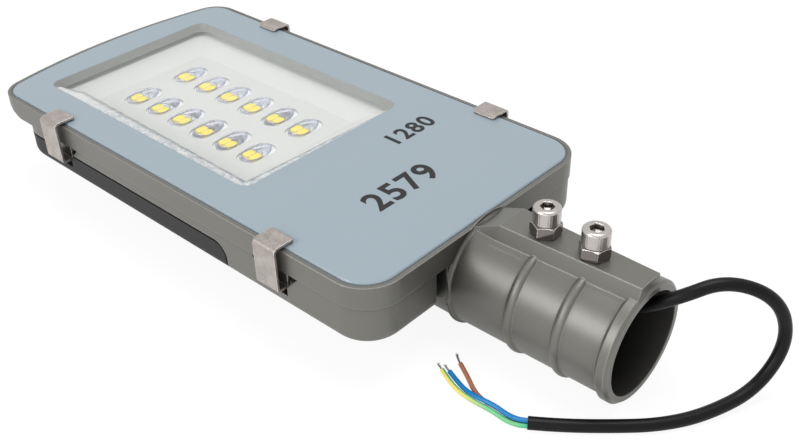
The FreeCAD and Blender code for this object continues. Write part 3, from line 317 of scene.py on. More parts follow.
def make_lamps():
    """Twelve light sources, each with two fields of phosphor, slot 0, on a pale base, slot 1."""
    form = bmesh.new()
    for spot in LAMP_SPOTS:
        middle = Vector((spot.x, spot.y + LUMP_SHIFT.y))
        pillow(form, middle, PLATE_HALF, BOARD_TOP, PLATE_TALL, material=1)
        for side in (-1, 1):
            pillow(form, middle + Vector((side * LUMP_SHIFT.x, 0)), LUMP_HALF, BOARD_TOP + PLATE_TALL / 2,
                   LUMP_TALL, material=0)
    return mesh_of("lamp_fields", form, smooth=True)


lamps = finished("lamp_fields", make_lamps(), phosphor, "phosphor", "led_chips")
lamps.data.materials.append(chip_base)


# The lenses
# Twelve clear moulded domes, one over each chip, drawn out to a blunt tip that throws the light
# along the road. Each has a flat seat with a hollow over its chip.

DROP_STEPS = 48
LENS_HALF = Vector((0.0064, 0.0108))
LENS_TALL = 0.0055
LENS_TIP = 0.45
LENS_SHIFT = 0.0
CELL_HALF = Vector((0.006, 0.0062))
CELL_TALL = 0.0036
CELL_TIP = 0.1
CELL_SHIFT = -0.003
FOOT_LEVEL = 0.0015
FOOT_RADIUS = 0.00017
UPWARD = Vector((0, 0, 1))


def drop_plan(half, tip, shift):
    """Points round a drop: round at one end, narrowed to a tip at the other; with the way out at each."""
    plan = []
    for step in range(DROP_STEPS):
        turn = 2 * math.pi * step / DROP_STEPS
        out = Vector((math.cos(turn), math.sin(turn), 0))
        narrow = 1 - tip * max(0.0, out.y)
        plan.append((Vector((half.x * out.x * narrow, half.y * out.y + shift, 0)), out))
    return plan


def drop_dome(form, half, tall, tip, shift, material, rings=9):
    """A dome over a drop's plan, with a small flat top."""
    loops = []
    for ring in range(rings):
        rise = 0.97 * math.pi / 2 * ring / (rings - 1)
        loops.append([(point.x * math.cos(rise), (point.y - shift) * math.cos(rise) + shift,
                       tall * math.sin(rise)) for point, out in drop_plan(half, tip, shift)])
    loft_rings(form, loops, material)


def thread_ring(middle, side, up, radius):
    """Six points round a thin thread."""
    turns = [math.pi * corner / 3 for corner in range(6)]
    return [middle + radius * (math.cos(turn) * side + math.sin(turn) * up) for turn in turns]


def foot_thread(form, half, tip, shift, material):
    """A fine closed thread round a dome's foot: a painted dark line where the clear lens's edge bends the
    light.
    """
    rings = [thread_ring(point + FOOT_LEVEL * UPWARD, out, UPWARD, FOOT_RADIUS)
             for point, out in drop_plan(half, tip, shift)]
    loft_rings(form, rings, material, hollow=True)


def make_lens_mesh(name):
    """The dome, the hollow cell in it, and a thread round the foot of each."""
    form = bmesh.new()
    drop_dome(form, LENS_HALF, LENS_TALL, LENS_TIP, LENS_SHIFT, material=0)
    drop_dome(form, CELL_HALF, CELL_TALL, CELL_TIP, CELL_SHIFT, material=1)
    foot_thread(form, LENS_HALF, LENS_TIP, LENS_SHIFT, material=2)
    foot_thread(form, CELL_HALF * 0.95, CELL_TIP, CELL_SHIFT, material=2)
    return mesh_of(name, form, smooth=True)


def lens_material(name, tint, rim_reflection_tint, clear, rim, tip=0.0):
    """Clear plastic: it shows what lies under it, and a painted reflection draws a blue-grey line where it
    turns away.

    Its cover is clear where it faces the eye, rim where it turns away, and tip more at the tip, as a
    painted reflection.
    """
    material, tree, shader = new_material(name)
    facing = add(tree, "ShaderNodeLayerWeight", {"Blend": 0.5}).outputs["Facing"]
    turned = add(tree, "ShaderNodeMapRange", {"Value": facing, "From Min": 0.6, "From Max": 0.92})
    line = add(tree, "ShaderNodeMapRange", {"Value": turned.outputs[0], "To Min": clear, "To Max": rim})
    mixed = add(tree, "ShaderNodeMix", {"Factor": turned.outputs[0]}, data_type="RGBA")
    mixed.inputs["A"].default_value = tint
    mixed.inputs["B"].default_value = rim_reflection_tint
    join(tree, mixed.outputs["Result"], shader.inputs["Base Color"])
    place = add(tree, "ShaderNodeTexCoord").outputs["Object"]
    along = add(tree, "ShaderNodeSeparateXYZ", {0: place}).outputs["Y"]
    fill = add(tree, "ShaderNodeMapRange", {"Value": along, "From Min": 0.003, "From Max": 0.006,
                                            "To Min": 0.0, "To Max": tip})
    alpha = add(tree, "ShaderNodeMath", {0: line.outputs[0], 1: fill.outputs[0]}, operation="ADD",
                use_clamp=True)
    join(tree, alpha.outputs[0], shader.inputs["Alpha"])
    shader.inputs["Roughness"].default_value = 0.04
    shader.inputs["IOR"].default_value = 1.49
    return material


lens_clear = lens_material("lens_clear", colour(226, 230, 250), colour(146, 150, 196),
                           clear=0.04, rim=0.42, tip=0.35)
cell_clear = lens_material("lens_cell", colour(226, 230, 250), colour(136, 140, 190),
                           clear=0.02, rim=0.30)
# The foot threads are a painted blue-grey line, for the light bent at each lens's foot.
foot_line, _, foot_shader = new_material("lens_foot")
foot_shader.inputs["Base Color"].default_value = colour(140, 144, 188)
foot_shader.inputs["Roughness"].default_value = 0.2
foot_shader.inputs["Alpha"].default_value = 0.6
for number, (node, spot) in enumerate(zip(LENS_NODES, LAMP_SPOTS), start=1):
    name = "lens_dome_%02d" % number
    lens = finished(name, make_lens_mesh(name), lens_clear, "lens", node)
    lens.data.materials.append(cell_clear)
    lens.data.materials.append(foot_line)
    lens.matrix_world = Matrix.Translation((spot.x, spot.y, BOARD_TOP))


# The reflector tray
# A pressed sheet pan, coated white, that is set over the lamps and frames them under the window. Its
# rim stands up to the pane, and its floor is pierced for the lenses.

tray_white = coated_metal("tray_white", colour(212, 211, 209), colour(240, 239, 236), roughness=0.45,
                          edge_radius=0.0006, grain_size=0.0012, grain_depth=0.00002, cloud=0.02)
dress(tray_white, "reflector")


# The cover glass and its seal
# A toughened pane, ground round its edge, with a blue-grey ceramic border fired on it. The border
# leaves a clear window over the lamps, and a soft seal lies under the pane's rim.

def clear_material(name, tint, roughness, index, coat=0.0):
    """Clear glass or plastic that lets the light of the lamps through to what lies under it."""
    material, tree, shader = new_material(name)
    shader.inputs["Base Color"].default_value = tint
    shader.inputs["Roughness"].default_value = roughness
    shader.inputs["IOR"].default_value = index
    shader.inputs["Transmission Weight"].default_value = 1.0
    shader.inputs["Coat Weight"].default_value = coat
    path = add(tree, "ShaderNodeLightPath")
    through = add(tree, "ShaderNodeMath", {0: path.outputs["Is Shadow Ray"],
                                           1: path.outputs["Is Diffuse Ray"]}, operation="MAXIMUM")
    open_way = add(tree, "ShaderNodeBsdfTransparent", {"Color": tint})
    mixed = add(tree, "ShaderNodeMixShader", {"Fac": through.outputs[0]})
    join(tree, shader.outputs[0], mixed.inputs[1])
    join(tree, open_way.outputs[0], mixed.inputs[2])
    join(tree, mixed.outputs[0], tree.nodes["Material Output"].inputs["Surface"])
    return material


def rounded_corners(low, high, radius, steps):
    """The points of a rectangle with rounded corners, anticlockwise."""
    points = []
    for turn, (x, y) in enumerate(((high.x, high.y), (low.x, high.y), (low.x, low.y), (high.x, low.y))):
        start = turn * math.pi / 2
        centre = Vector((x, y)) - radius * Vector((math.copysign(1, x - (low.x + high.x) / 2),
                                                   math.copysign(1, y - (low.y + high.y) / 2)))
        for step in range(steps + 1):
            angle = start + math.pi / 2 * step / steps
            points.append(centre + radius * Vector((math.cos(angle), math.sin(angle))))
    return points


GLASS_LOW, GLASS_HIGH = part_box("cover_glass")
GLASS_MIDDLE = (GLASS_LOW + GLASS_HIGH) / 2
GLASS_HALF = (GLASS_HIGH - GLASS_LOW) / 2
LEVEL_SLOPE = 0.3
FLAT_SLOPE = 0.99
WELD_GAP = 0.00002
BORDER_PROUD = 0.00008
BORDER_GAP = 0.0002
BORDER_SHY = 0.00003
WINDOW_LOW = Vector((-0.1712, -0.0590))
WINDOW_HIGH = Vector((0.0021, 0.0546))
WINDOW_CORNER = 0.006
CORNER_STEPS = 6
WALL_DROP = 0.0018

pane_glass = clear_material("pane_glass", (0.985, 0.995, 0.99, 1.0), roughness=0.0, index=1.02, coat=1.0)
dress(pane_glass, "cover_glass")


def pane_faces(unwanted):
    """The pane's faces without the unwanted ones, which are told by the slope of their normal."""
    form = bmesh.new()
    form.from_mesh(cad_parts["cover_glass"].data)
    bmesh.ops.delete(form, geom=[face for face in form.faces if unwanted(face.normal.z)], context="FACES")
    bmesh.ops.remove_doubles(form, verts=form.verts, dist=WELD_GAP)
    return form


def push_out(vert, reach):
    """Moves a point away from the pane's middle, by the whole reach at the pane's sides."""
    vert.co.x += (vert.co.x - GLASS_MIDDLE.x) * reach / GLASS_HALF.x
    vert.co.y += (vert.co.y - GLASS_MIDDLE.y) * reach / GLASS_HALF.y


def in_window(point, spare=0.0001):
    """Whether a point lies in the window's rectangle or on its edge."""
    return (WINDOW_LOW.x - spare < point.x < WINDOW_HIGH.x + spare
            and WINDOW_LOW.y - spare < point.y < WINDOW_HIGH.y + spare)


def make_border_mesh():
    """The pane's top and bevel without the window; the wall under the window's edge is slot 1."""
    form = pane_faces(lambda slope: slope < LEVEL_SLOPE)
    top = [face for face in form.faces if face.normal.z > FLAT_SLOPE]
    bmesh.ops.delete(form, geom=top, context="FACES")
    rim = [edge for edge in form.edges if edge.is_boundary
           and min(vert.co.z for vert in edge.verts) > GLASS_HIGH.z - BORDER_PROUD]
    for vert in form.verts:
        push_out(vert, -BORDER_SHY)
    spots = [form.verts.new((point.x, point.y, GLASS_HIGH.z))
             for point in rounded_corners(WINDOW_LOW, WINDOW_HIGH, WINDOW_CORNER, CORNER_STEPS)]
    window = [form.edges.new((spots[index - 1], spots[index])) for index in range(len(spots))]
    bmesh.ops.triangle_fill(form, edges=rim + window, use_beauty=True, use_dissolve=False,
                            normal=(0, 0, 1))
    for vert in form.verts:
        vert.co.z += BORDER_PROUD
    solid = bmesh.ops.extrude_face_region(form, geom=form.faces[:])
    for item in solid["geom"]:
        if isinstance(item, bmesh.types.BMVert):
            item.co.z = GLASS_LOW.z + BORDER_GAP - (WALL_DROP if in_window(item.co) else 0.0)
    bmesh.ops.recalc_face_normals(form, faces=form.faces)
    middle = (WINDOW_LOW + WINDOW_HIGH) / 2
    for face in form.faces:
        inward = middle - face.calc_center_median().xy
        if abs(face.normal.z) < 0.5 and face.normal.xy.dot(inward) > 0:
            face.material_index = 1
    return mesh_of("printed_border", form)


border_ink = coated_metal("border_ink", colour(150, 164, 173), colour(165, 180, 189), roughness=0.3,
                          edge_radius=0.0003, grain_size=0.0012, grain_depth=0.00001, cloud=0.03)
window_wall = coated_metal("window_wall", colour(158, 160, 158), colour(158, 160, 158), roughness=0.5,
                           edge_radius=0.0002, grain_size=0.0012, grain_depth=0.00001, cloud=0.03)
border = finished("printed_border", make_border_mesh(), border_ink, "clear_glass")
border.data.materials.append(window_wall)
mark_ink = coated_metal("mark_ink", colour(10, 10, 14), colour(10, 10, 14), roughness=0.6,
                        edge_radius=0.0001, grain_size=0.0012, grain_depth=0.00001, cloud=0.03)


NUMERAL_SHARE = 0.72
NUMERAL_WEIGHT = 0.03
NUMERAL_SPACING = 1.13


def make_mark(name, digits, baseline, start, height):
    """Plain numerals printed across the border, read from the side of the head."""
    letters = bpy.data.curves.new(name, "FONT")
    letters.body = digits
    letters.size = height / NUMERAL_SHARE
    letters.offset = height * NUMERAL_WEIGHT
    letters.space_character = NUMERAL_SPACING
    letters.extrude = BORDER_PROUD
    piece = finished(name, letters, mark_ink, "clear_glass")
    piece.matrix_world = (Matrix.Translation((baseline, start, GLASS_HIGH.z + 1.5 * BORDER_PROUD))
                          @ Matrix.Rotation(math.pi / 2, 4, "Z"))


make_mark("mark_small", "1280", baseline=0.0312, start=0.0195, height=0.0112)
make_mark("mark_large", "2579", baseline=0.0668, start=-0.0305, height=0.0152)
seal_rubber = coated_metal("seal_rubber", colour(34, 34, 35), colour(40, 40, 41), roughness=0.7,
                           edge_radius=0.0002, grain_size=0.0005, grain_depth=0.00002)
dress(seal_rubber, "glass_gasket", "gland_seal")

LIP_TOP = 0.0582
LIP_FOOT = GLASS_LOW.z + 0.0003
LIP_IN = 0.00004
LIP_OUT = 0.0011


def make_lip_mesh():
    """The seal's lip, which fills the gap between the pane's side and the rim."""
    form = pane_faces(lambda slope: abs(slope) > LEVEL_SLOPE)
    for vert in form.verts:
        vert.co.z = LIP_TOP if vert.co.z > GLASS_MIDDLE.z else LIP_FOOT
    solid = bmesh.ops.extrude_face_region(form, geom=form.faces[:])
    outer = {item for item in solid["geom"] if isinstance(item, bmesh.types.BMVert)}
    for vert in form.verts:
        push_out(vert, LIP_OUT if vert in outer else LIP_IN)
    return mesh_of("seal_lip", form)


lip_rubber = coated_metal("lip_rubber", colour(104, 106, 107), colour(116, 118, 119), roughness=0.7,
                          edge_radius=0.0002, grain_size=0.0005, grain_depth=0.00002)
finished("seal_lip", make_lip_mesh(), lip_rubber, "seal")


# A thin strip in the pane along the window's two near edges carries painted glints and reflections of the
# glass's edge.
SIDE_STEPS = 120
BEND_STEPS = 8
END_STEPS = 60
GLINT_START = 0.003
GLINT_WIDEST = 0.0086
GLINT_CORNER = 0.0056
GLINT_END = 0.0018
GLINT_STOP = 0.012
GLINT_TOP = 0.0002
GLINT_BASE = 0.0015


def near_edges():
    """Points along the window's two near edges, with the way inward and the glint strip's width."""
    corner = Vector((WINDOW_HIGH.x - WINDOW_CORNER, WINDOW_LOW.y + WINDOW_CORNER))
    first = WINDOW_LOW.x + WINDOW_CORNER
    last = WINDOW_HIGH.y - GLINT_STOP
    points = []
    for step in range(SIDE_STEPS + 1):
        share = step / SIDE_STEPS
        width = (min(GLINT_START + 0.05 * share, GLINT_WIDEST)
                 - (GLINT_WIDEST - GLINT_CORNER) * share)
        points.append((Vector((first + (corner.x - first) * share, WINDOW_LOW.y)), Vector((0, 1)), width))
    for step in range(1, BEND_STEPS + 1):
        angle = math.pi / 2 * (step / BEND_STEPS - 1)
        out = Vector((math.cos(angle), math.sin(angle)))
        points.append((corner + WINDOW_CORNER * out, -out, GLINT_CORNER))
    for step in range(1, END_STEPS + 1):
        share = step / END_STEPS
        width = GLINT_CORNER + (GLINT_END - GLINT_CORNER) * share
        points.append((Vector((WINDOW_HIGH.x, corner.y + (last - corner.y) * share)), Vector((-1, 0)),
                       width))
    return points


def make_glint_strip_mesh():
    """A thin wavy strip of painted glints and reflections: four points over the top, two below."""
    form = bmesh.new()
    rings = []
    for index, (point, inward, width) in enumerate(near_edges()):
        wave = 0.5 + 0.5 * math.sin(index * 0.83) * math.sin(index * 0.31 + 1.0)
        brim = 1.0 + 0.06 * wave
        ring = []
        for share, down in ((0.02, GLINT_TOP), (0.3, GLINT_TOP + 0.0005 * wave),
                            (0.6, 0.0009 - 0.0005 * wave), (brim, 0.0012), (brim, GLINT_BASE),
                            (0.02, GLINT_BASE)):
            spot = point + inward * width * share
            ring.append((spot.x, spot.y, GLASS_HIGH.z - down))
        rings.append(ring)
    loft_rings(form, rings)
    return mesh_of("painted_window_glints", form, smooth=True)


def glint_strip_material():
    """Painted glints and reflections: plain at the window's far end and mottled grey and white from there
    on.
    """
    material, tree, shader = new_material("painted_glints")
    place = add(tree, "ShaderNodeTexCoord").outputs["Object"]
    fine = add(tree, "ShaderNodeTexNoise", {"Vector": place, "Scale": 260.0, "Detail": 3.0,
                                            "Distortion": 1.5}).outputs["Fac"]
    along = add(tree, "ShaderNodeSeparateXYZ", {0: place}).outputs["X"]
    share = add(tree, "ShaderNodeMapRange", {"Value": along, "From Min": -0.145, "From Max": -0.11})
    marks = add(tree, "ShaderNodeMapRange", {"Value": fine, "From Min": 0.4, "From Max": 0.62})
    amount = add(tree, "ShaderNodeMath", {0: marks.outputs[0], 1: share.outputs[0]}, operation="MULTIPLY")
    mixed = add(tree, "ShaderNodeMix", {"Factor": amount.outputs[0]}, data_type="RGBA")
    mixed.inputs["A"].default_value = colour(226, 227, 226)
    mixed.inputs["B"].default_value = colour(180, 185, 192)
    join(tree, mixed.outputs["Result"], shader.inputs["Base Color"])
    shader.inputs["Roughness"].default_value = 0.12
    shader.inputs["Alpha"].default_value = 0.8
    return material


finished("painted_window_glints", make_glint_strip_mesh(), glint_strip_material(), "clear_glass")


# The glass clips
# Four hooks of stainless spring strip hold the pane. Each is bent over the rim, goes down the
# notch in the head's side and folds back under a ledge.

spring_steel = coated_metal("spring_steel", colour(176, 168, 162), colour(250, 246, 242),
                            roughness=0.34, edge_radius=0.0005, grain_size=0.0006, grain_depth=0.00004,
                            cloud=0.75, cloud_size=0.005, metallic=0.85, hollow=0.7, reach=0.008)
dress(spring_steel, *["glass_clip_%d" % number for number in (1, 2, 3, 4)])


# The clamp bolts and lock nuts
# Two plated socket head cap screws go down through the boss and press on the pole's arm. A hexagon
# nut on each locks it against the boss.

plated_steel = coated_metal("plated_steel", colour(194, 188, 184), colour(240, 238, 235),
                            roughness=0.27, edge_radius=0.0003, grain_size=0.0005, grain_depth=0.00002,
                            cloud=0.2, metallic=1.0, hollow=0.8, reach=0.006)
nut_steel = coated_metal("nut_steel", colour(124, 118, 116), colour(255, 253, 250), roughness=0.12,
                         edge_radius=0.0005, grain_size=0.0008, grain_depth=0.00001, cloud=0.1,
                         metallic=1.0)
dress(plated_steel, "board_screws", "sink_screws", "driver_screws")
TURN_STEPS = 144
HEAD_RADIUS = 0.0065
HEAD_TALL = 0.008
THREAD_RADIUS = 0.004
THREAD_PITCH = 0.00125
THREAD_DEEP = 0.0005
THREAD_LEAD = 0.0008
KEY_ACROSS = 0.006
KEY_DEEP = 0.003
KEY_CONE = 0.0012
KEY_BEVEL = 0.0003
KNURL_COUNT = 36
KNURL_DEEP = 0.00005
KNURL_LOW = 0.0008
KNURL_HIGH = 0.0018
HEAD_CHAMFER = (0.0004, 0.0003)
HEAD_CROWN = ((0.0, 0.0013), (0.00012, 0.0009), (0.0006, 0.00035), (0.001, 0.0001), (0.0014, 0.0))
NUT_ACROSS = 0.013
NUT_RING = 0.0059
NUT_BORE = 0.0041
NUT_SLOPE = math.tan(math.radians(30))


def hexagon_reach(turn, across):
    """How far a hexagon's side lies from its middle, in a direction measured from a side's middle."""
    return across / 2 / math.cos((turn + math.pi / 6) % (math.pi / 3) - math.pi / 6)


def turned_ring(middle, start, reach_of, level_of):
    """A ring round an upright axis; its reach and level are formulas of the direction."""
    ring = []
    for step in range(TURN_STEPS):
        turn = 2 * math.pi * step / TURN_STEPS
        reach = reach_of(turn)
        ring.append((middle.x + reach * math.cos(start + turn), middle.y + reach * math.sin(start + turn),
                     level_of(turn)))
    return ring


def round_ring(middle, start, reach, level):
    return turned_ring(middle, start, lambda turn: reach, lambda turn: level)


def make_bolt_mesh(name, node, start):
    """A cap screw: chamfered tip, thread, knurled head with a round brim, and a six-sided socket."""
    low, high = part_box(node)
    middle = (low + high) / 2
    seat = high.z - HEAD_TALL
    rings = [round_ring(middle, start, THREAD_RADIUS - THREAD_LEAD, low.z),
             round_ring(middle, start, THREAD_RADIUS, low.z + THREAD_LEAD)]
    turns = int((seat - low.z - 0.001) / THREAD_PITCH)
    for turn in range(turns):
        level = low.z + THREAD_LEAD + turn * THREAD_PITCH
        rings.append(round_ring(middle, start, THREAD_RADIUS - THREAD_DEEP, level + THREAD_PITCH / 2))
        rings.append(round_ring(middle, start, THREAD_RADIUS, level + THREAD_PITCH))

    def knurl(turn):
        return HEAD_RADIUS - KNURL_DEEP * (0.5 + 0.5 * math.cos(KNURL_COUNT * turn))

    rings.append(round_ring(middle, start, HEAD_RADIUS - HEAD_CHAMFER[0], seat))
    rings.append(round_ring(middle, start, HEAD_RADIUS, seat + HEAD_CHAMFER[1]))
    for level in (seat + KNURL_LOW, high.z - KNURL_HIGH):
        rings.append(turned_ring(middle, start, knurl, lambda turn: level))
    for back, down in HEAD_CROWN:
        rings.append(round_ring(middle, start, HEAD_RADIUS - back, high.z - down))

    def key(turn):
        return hexagon_reach(turn, KEY_ACROSS)

    rings.append(turned_ring(middle, start, lambda turn: key(turn) + KEY_BEVEL, lambda turn: high.z))
    rings.append(turned_ring(middle, start, key, lambda turn: high.z - KEY_BEVEL))
    rings.append(turned_ring(middle, start, key, lambda turn: high.z - KEY_DEEP))
    rings.append(round_ring(middle, start, 0.0004, high.z - KEY_DEEP - KEY_CONE))
    form = bmesh.new()
    loft_rings(form, rings)
    return mesh_of(name, form)


def make_nut_mesh(name, node, start):
    """A hexagon nut whose corners are turned away at both ends, so each side ends in an arc."""
    low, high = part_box(node)
    middle = (low + high) / 2

    def side(turn):
        return hexagon_reach(turn, NUT_ACROSS)

    def fall(turn):
        return (side(turn) - NUT_RING) * NUT_SLOPE

    rings = [round_ring(middle, start, NUT_BORE, low.z),
             round_ring(middle, start, NUT_RING, low.z),
             turned_ring(middle, start, side, lambda turn: low.z + fall(turn)),
             turned_ring(middle, start, side, lambda turn: high.z - fall(turn)),
             round_ring(middle, start, NUT_RING, high.z),
             round_ring(middle, start, NUT_BORE, high.z)]
    form = bmesh.new()
    loft_rings(form, rings, hollow=True)
    return mesh_of(name, form)


NUT_TURNS = {1: math.radians(-57), 2: math.radians(-77)}
for number, start in NUT_TURNS.items():
    for name, node, make, steel in (("cap_screw", "clamp_bolt", make_bolt_mesh, plated_steel),
                                    ("hex_nut", "lock_nut", make_nut_mesh, nut_steel)):
        name, node = "%s_%d" % (name, number), "%s_%d" % (node, number)
        finished(name, make(name, node, start), steel, "bolts", node)


# The supply lead
# A round black rubber lead comes out of the gland, climbs over the socket's lip, drops to the floor
# and lies beside the head. Its jacket is cut back at the end to show three cores.

def rubber(name, base, roughness):
    """Soft rubber or plastic of one colour, with a faint bloom and a matt grain."""
    return coated_metal(name, base, base, roughness, edge_radius=0.0001, grain_size=0.0004,
                        grain_depth=0.00001, cloud=0.06)


jacket_black = rubber("jacket_black", colour(8, 8, 10), 0.4)
jacket_black.node_tree.nodes["Principled BSDF"].inputs["Specular IOR Level"].default_value = 0.22
dress(jacket_black, "driver_lead", "dc_lead_black")
dress(rubber("red_insulation", colour(168, 38, 34), 0.4), "dc_lead_red")


def smooth_curve(name, points, resolution):
    """One smooth line that starts and ends on its first and last point."""
    curve = bpy.data.curves.new(name, "CURVE")
    curve.dimensions = "3D"
    curve.resolution_u = resolution
    spline = curve.splines.new("NURBS")
    spline.points.add(len(points) - 1)
    for spot, point in zip(spline.points, points):
        spot.co = (*point, 1.0)
    spline.order_u = 3
    spline.use_endpoint_u = True
    return curve


def soft_line(name, points, diameter, material, slot, *replaced):
    """A lead of one smooth line through the room of its CAD solid, with closed ends."""
    curve = smooth_curve(name, points, 16)
    curve.bevel_depth = diameter / 2
    curve.bevel_resolution = 6
    curve.use_fill_caps = True
    return finished(name, curve, material, slot, *replaced)


LEAD_DIAMETER = 0.0062
LEAD_ROUTE = (
    (0.1255, 0.0, 0.0344), (0.1385, 0.0, 0.0344), (0.1595, 0.0015, 0.0381), (0.185, 0.0056, 0.0403),
    (0.2039, 0.0093, 0.0542), (0.2174, 0.0263, 0.0614), (0.2361, 0.0413, 0.0518),
    (0.2424, 0.0469, 0.0274), (0.2383, 0.032, 0.0062), (0.2279, 0.0057, 0.0031),
    (0.2157, -0.0132, 0.0031), (0.1991, -0.0287, 0.0031), (0.182, -0.0428, 0.0031),
    (0.1716, -0.0498, 0.0031))
supply_lead = soft_line("supply_cable", LEAD_ROUTE, LEAD_DIAMETER, jacket_black, "jacket", "supply_lead")


# The cores and their bare ends
# Three insulated cores come out of the jacket, blue, green with a yellow stripe, and brown. A few
# millimetres at each tip are stripped to the twisted tinned strands.

CORE_DIAMETER = 0.0023
CORE_ROUTES = {
    "green_yellow": ((0.1723, -0.05085, 0.0024), (0.169, -0.0531, 0.0024), (0.1625, -0.0535, 0.00115),
                     (0.154, -0.0527, 0.00115), (0.1453, -0.0534, 0.00115), (0.1363, -0.0532, 0.00115),
                     (0.1278, -0.0507, 0.00115), (0.12, -0.0469, 0.00115)),
    "blue": ((0.1716, -0.0498, 0.0045), (0.1683, -0.052, 0.0045), (0.162, -0.0518, 0.0032),
             (0.1539, -0.0509, 0.0032), (0.146, -0.0519, 0.0032), (0.1375, -0.0506, 0.0014),
             (0.1298, -0.048, 0.00115), (0.1233, -0.0454, 0.00115)),
    "brown": ((0.1709, -0.0489, 0.0024), (0.1676, -0.0511, 0.0024), (0.1615, -0.0505, 0.00115),
              (0.1538, -0.0495, 0.00115), (0.147, -0.0502, 0.00115), (0.14, -0.048, 0.00115),
              (0.132, -0.0426, 0.00115), (0.1238, -0.038, 0.00115))}
CORE_COLOURS = {"green_yellow": colour(70, 190, 138), "blue": colour(10, 122, 188),
                "brown": colour(172, 112, 84)}
TIP_ROUTES = {
    "green_yellow": ((0.12, -0.0469, 0.00115), (0.1178, -0.0458, 0.00115), (0.1155, -0.0447, 0.00115)),
    "blue": ((0.1233, -0.0454, 0.00115), (0.121, -0.0444, 0.00115), (0.1187, -0.0435, 0.00115)),
    "brown": ((0.1238, -0.038, 0.00115), (0.1208, -0.0363, 0.00115), (0.1181, -0.0339, 0.0013))}
STRAND_RADIUS = 0.00017
STRAND_RING = 0.00036
STRAND_COUNT = 7
STRAND_TWIST = 0.9
STRAND_OPEN = 0.8

tinned_copper = coated_metal("tinned_strands", colour(176, 172, 170), colour(216, 212, 208),
                             roughness=0.3, edge_radius=0.0001, grain_size=0.0003, grain_depth=0.00001,
                             metallic=1.0)


def centre_line(route):
    """Points along the smooth line through a route, as its spline gives them."""
    curve = smooth_curve("guide", route, 12)
    guide = bpy.data.objects.new("guide", curve)
    sampled = bpy.data.meshes.new_from_object(guide)
    points = [vert.co.copy() for vert in sampled.vertices]
    bpy.data.objects.remove(guide)
    bpy.data.curves.remove(curve)
    bpy.data.meshes.remove(sampled)
    return points


def make_strands(name, route):
    """Bare strands laid round one another; they open a little and end unevenly at the tip."""
    line = centre_line(route)
    last = len(line) - 1
    form = bmesh.new()
    for strand in range(STRAND_COUNT):
        ring_reach = STRAND_RING if strand else 0.0
        rings = []
        for index in range(last + 1 - strand % 3):
            share = index / last
            ahead = (line[min(index + 1, last)] - line[max(index - 1, 0)]).normalized()
            side = ahead.cross(UPWARD).normalized()
            up = side.cross(ahead)
            swing = 2 * math.pi * (strand / (STRAND_COUNT - 1) + STRAND_TWIST * share)
            reach = ring_reach * (1 + STRAND_OPEN * share ** 3)
            middle = line[index] + reach * (math.cos(swing) * side + math.sin(swing) * up)
            rings.append(thread_ring(middle, side, up, STRAND_RADIUS))
        loft_rings(form, rings)
    return mesh_of(name, form, smooth=True)


def striped(name, base, stripe):
    """Insulation of one colour, with a stripe of another that turns into view towards the tip."""
    material = rubber(name, base, 0.38)
    tree = material.node_tree
    shader = tree.nodes["Principled BSDF"]
    skin = shader.inputs["Base Color"].links[0].from_socket
    turned = add(tree, "ShaderNodeTexCoord").outputs["Normal"]
    toward = add(tree, "ShaderNodeVectorMath", {0: turned, 1: (-0.75, -0.6, 0.3)},
                 operation="DOT_PRODUCT")
    band = add(tree, "ShaderNodeMapRange", {"Value": toward.outputs["Value"], "From Min": 0.3,
                                            "From Max": 0.5})
    place = add(tree, "ShaderNodeTexCoord").outputs["Object"]
    along = add(tree, "ShaderNodeSeparateXYZ", {0: place}).outputs["X"]
    reach = add(tree, "ShaderNodeMapRange", {"Value": along, "From Min": 0.136, "From Max": 0.152,
                                             "To Min": 1.0, "To Max": 0.15})
    factor = add(tree, "ShaderNodeMath", {0: band.outputs[0], 1: reach.outputs[0]}, operation="MULTIPLY")
    mixed = add(tree, "ShaderNodeMix", {"Factor": factor.outputs[0]}, data_type="RGBA")
    join(tree, skin, mixed.inputs["A"])
    mixed.inputs["B"].default_value = stripe
    join(tree, mixed.outputs["Result"], shader.inputs["Base Color"])
    return material


for core, route in CORE_ROUTES.items():
    if core == "green_yellow":
        insulation = striped("insulation_" + core, CORE_COLOURS[core], colour(236, 214, 104))
    else:
        insulation = rubber("insulation_" + core, CORE_COLOURS[core], 0.38)
    tip = finished("strands_" + core, make_strands("strands_" + core, TIP_ROUTES[core]), tinned_copper,
                   "tinned_copper", "conductor_" + core)
    piece = soft_line("core_line_" + core, route, CORE_DIAMETER, insulation, core + "_core", "core_" + core)


# The studio
# The head lies on a plain pale floor under a soft even sky. A broad lamp at the front left, one from
# above and a weak low one at the front right give the tube and the screws their highlights.

def soft_lamp(name, place, aim, size, power):
    """A round lamp that is turned from its place towards its aim."""
    light = bpy.data.lights.new(name, "AREA")
    light.shape = "DISK"
    light.size = size
    light.energy = power
    lamp = bpy.data.objects.new(name, light)
    bpy.context.scene.collection.objects.link(lamp)
    lamp.location = place
    lamp.rotation_mode = "QUATERNION"
    lamp.rotation_quaternion = (Vector(aim) - Vector(place)).to_track_quat("-Z", "Y")


soft_lamp("key_lamp", (-0.3, -1.17, 0.74), (0, 0, 0), size=0.8, power=7.2)
soft_lamp("fill_lamp", (0.55, -1.0, 0.3), (0.05, 0, 0.03), size=0.8, power=1.6)
soft_lamp("top_lamp", (0.1, 0.2, 1.5), (0, 0, 0), size=0.9, power=10.0)

FLOOR_HALF = 3.0
FLOOR_GLOW = 1.06
GLOW_SHARE = 0.85
MIRRORED_SHARE = 0.5


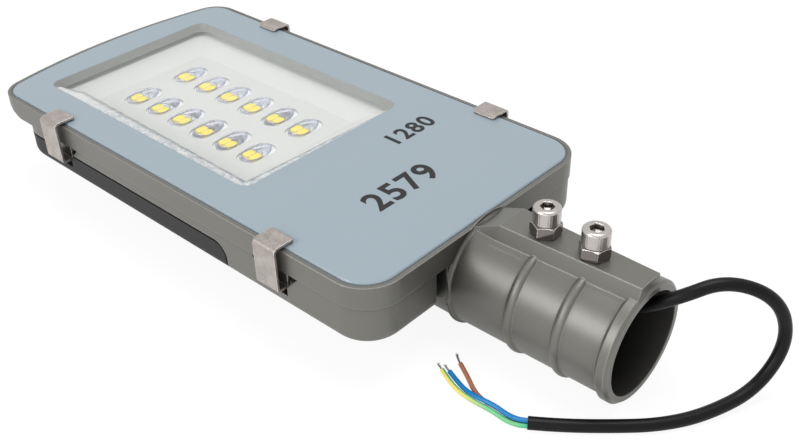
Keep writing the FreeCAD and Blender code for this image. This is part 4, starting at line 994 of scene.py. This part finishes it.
def make_floor():
    """A pale floor that reads white to the camera but keeps the head's soft shadow."""
    form = bmesh.new()
    bmesh.ops.create_grid(form, x_segments=8, y_segments=8, size=FLOOR_HALF)
    mesh = bpy.data.meshes.new("floor")
    form.to_mesh(mesh)
    form.free()
    floor = bpy.data.objects.new("floor", mesh)
    bpy.context.scene.collection.objects.link(floor)
    material, tree, shader = new_material("floor_paper")
    shader.inputs["Base Color"].default_value = (0.86, 0.86, 0.86, 1.0)
    shader.inputs["Roughness"].default_value = 0.9
    path = add(tree, "ShaderNodeLightPath")
    glow = add(tree, "ShaderNodeEmission", {"Color": (1, 1, 1, 1), "Strength": FLOOR_GLOW})
    mirrored = add(tree, "ShaderNodeMath", {0: path.outputs["Is Glossy Ray"],
                                            1: path.outputs["Is Transmission Ray"]}, operation="MAXIMUM")
    either = add(tree, "ShaderNodeMath", {0: mirrored.outputs[0], 1: MIRRORED_SHARE,
                                          2: path.outputs["Is Camera Ray"]}, operation="MULTIPLY_ADD")
    seen = add(tree, "ShaderNodeMath", {0: either.outputs[0], 1: GLOW_SHARE}, operation="MULTIPLY")
    mixed = add(tree, "ShaderNodeMixShader", {"Fac": seen.outputs[0]})
    join(tree, shader.outputs[0], mixed.inputs[1])
    join(tree, glow.outputs[0], mixed.inputs[2])
    join(tree, mixed.outputs[0], tree.nodes["Material Output"].inputs["Surface"])
    mesh.materials.append(material)


make_floor()

world = bpy.data.worlds.new("soft_sky")
bpy.context.scene.world = world
world.use_nodes = True
sky = world.node_tree
path = add(sky, "ShaderNodeLightPath")
seen = add(sky, "ShaderNodeMath", {0: path.outputs["Is Camera Ray"],
                                   1: path.outputs["Is Transmission Ray"]}, operation="MAXIMUM")
gloss = add(sky, "ShaderNodeMapRange", {"Value": path.outputs["Is Glossy Ray"], "To Min": 0.55,
                                        "To Max": 0.85})
level = add(sky, "ShaderNodeMix", {"Factor": seen.outputs[0], "A": gloss.outputs[0], "B": 1.0})
join(sky, level.outputs["Result"], sky.nodes["Background"].inputs["Strength"])
sky.nodes["Background"].inputs["Color"].default_value = (1, 1, 1, 1)

camera = bpy.data.objects.new("camera", bpy.data.cameras.new("camera"))
bpy.context.scene.collection.objects.link(camera)
camera.data.sensor_width = 36.0
camera.data.lens = 47.39
camera.location = (0.35566, -0.32865, 0.34121)
camera.rotation_euler = [math.radians(angle) for angle in (55.128, 1.007, 42.076)]
bpy.context.scene.camera = camera
bpy.context.scene.view_settings.view_transform = "Standard"
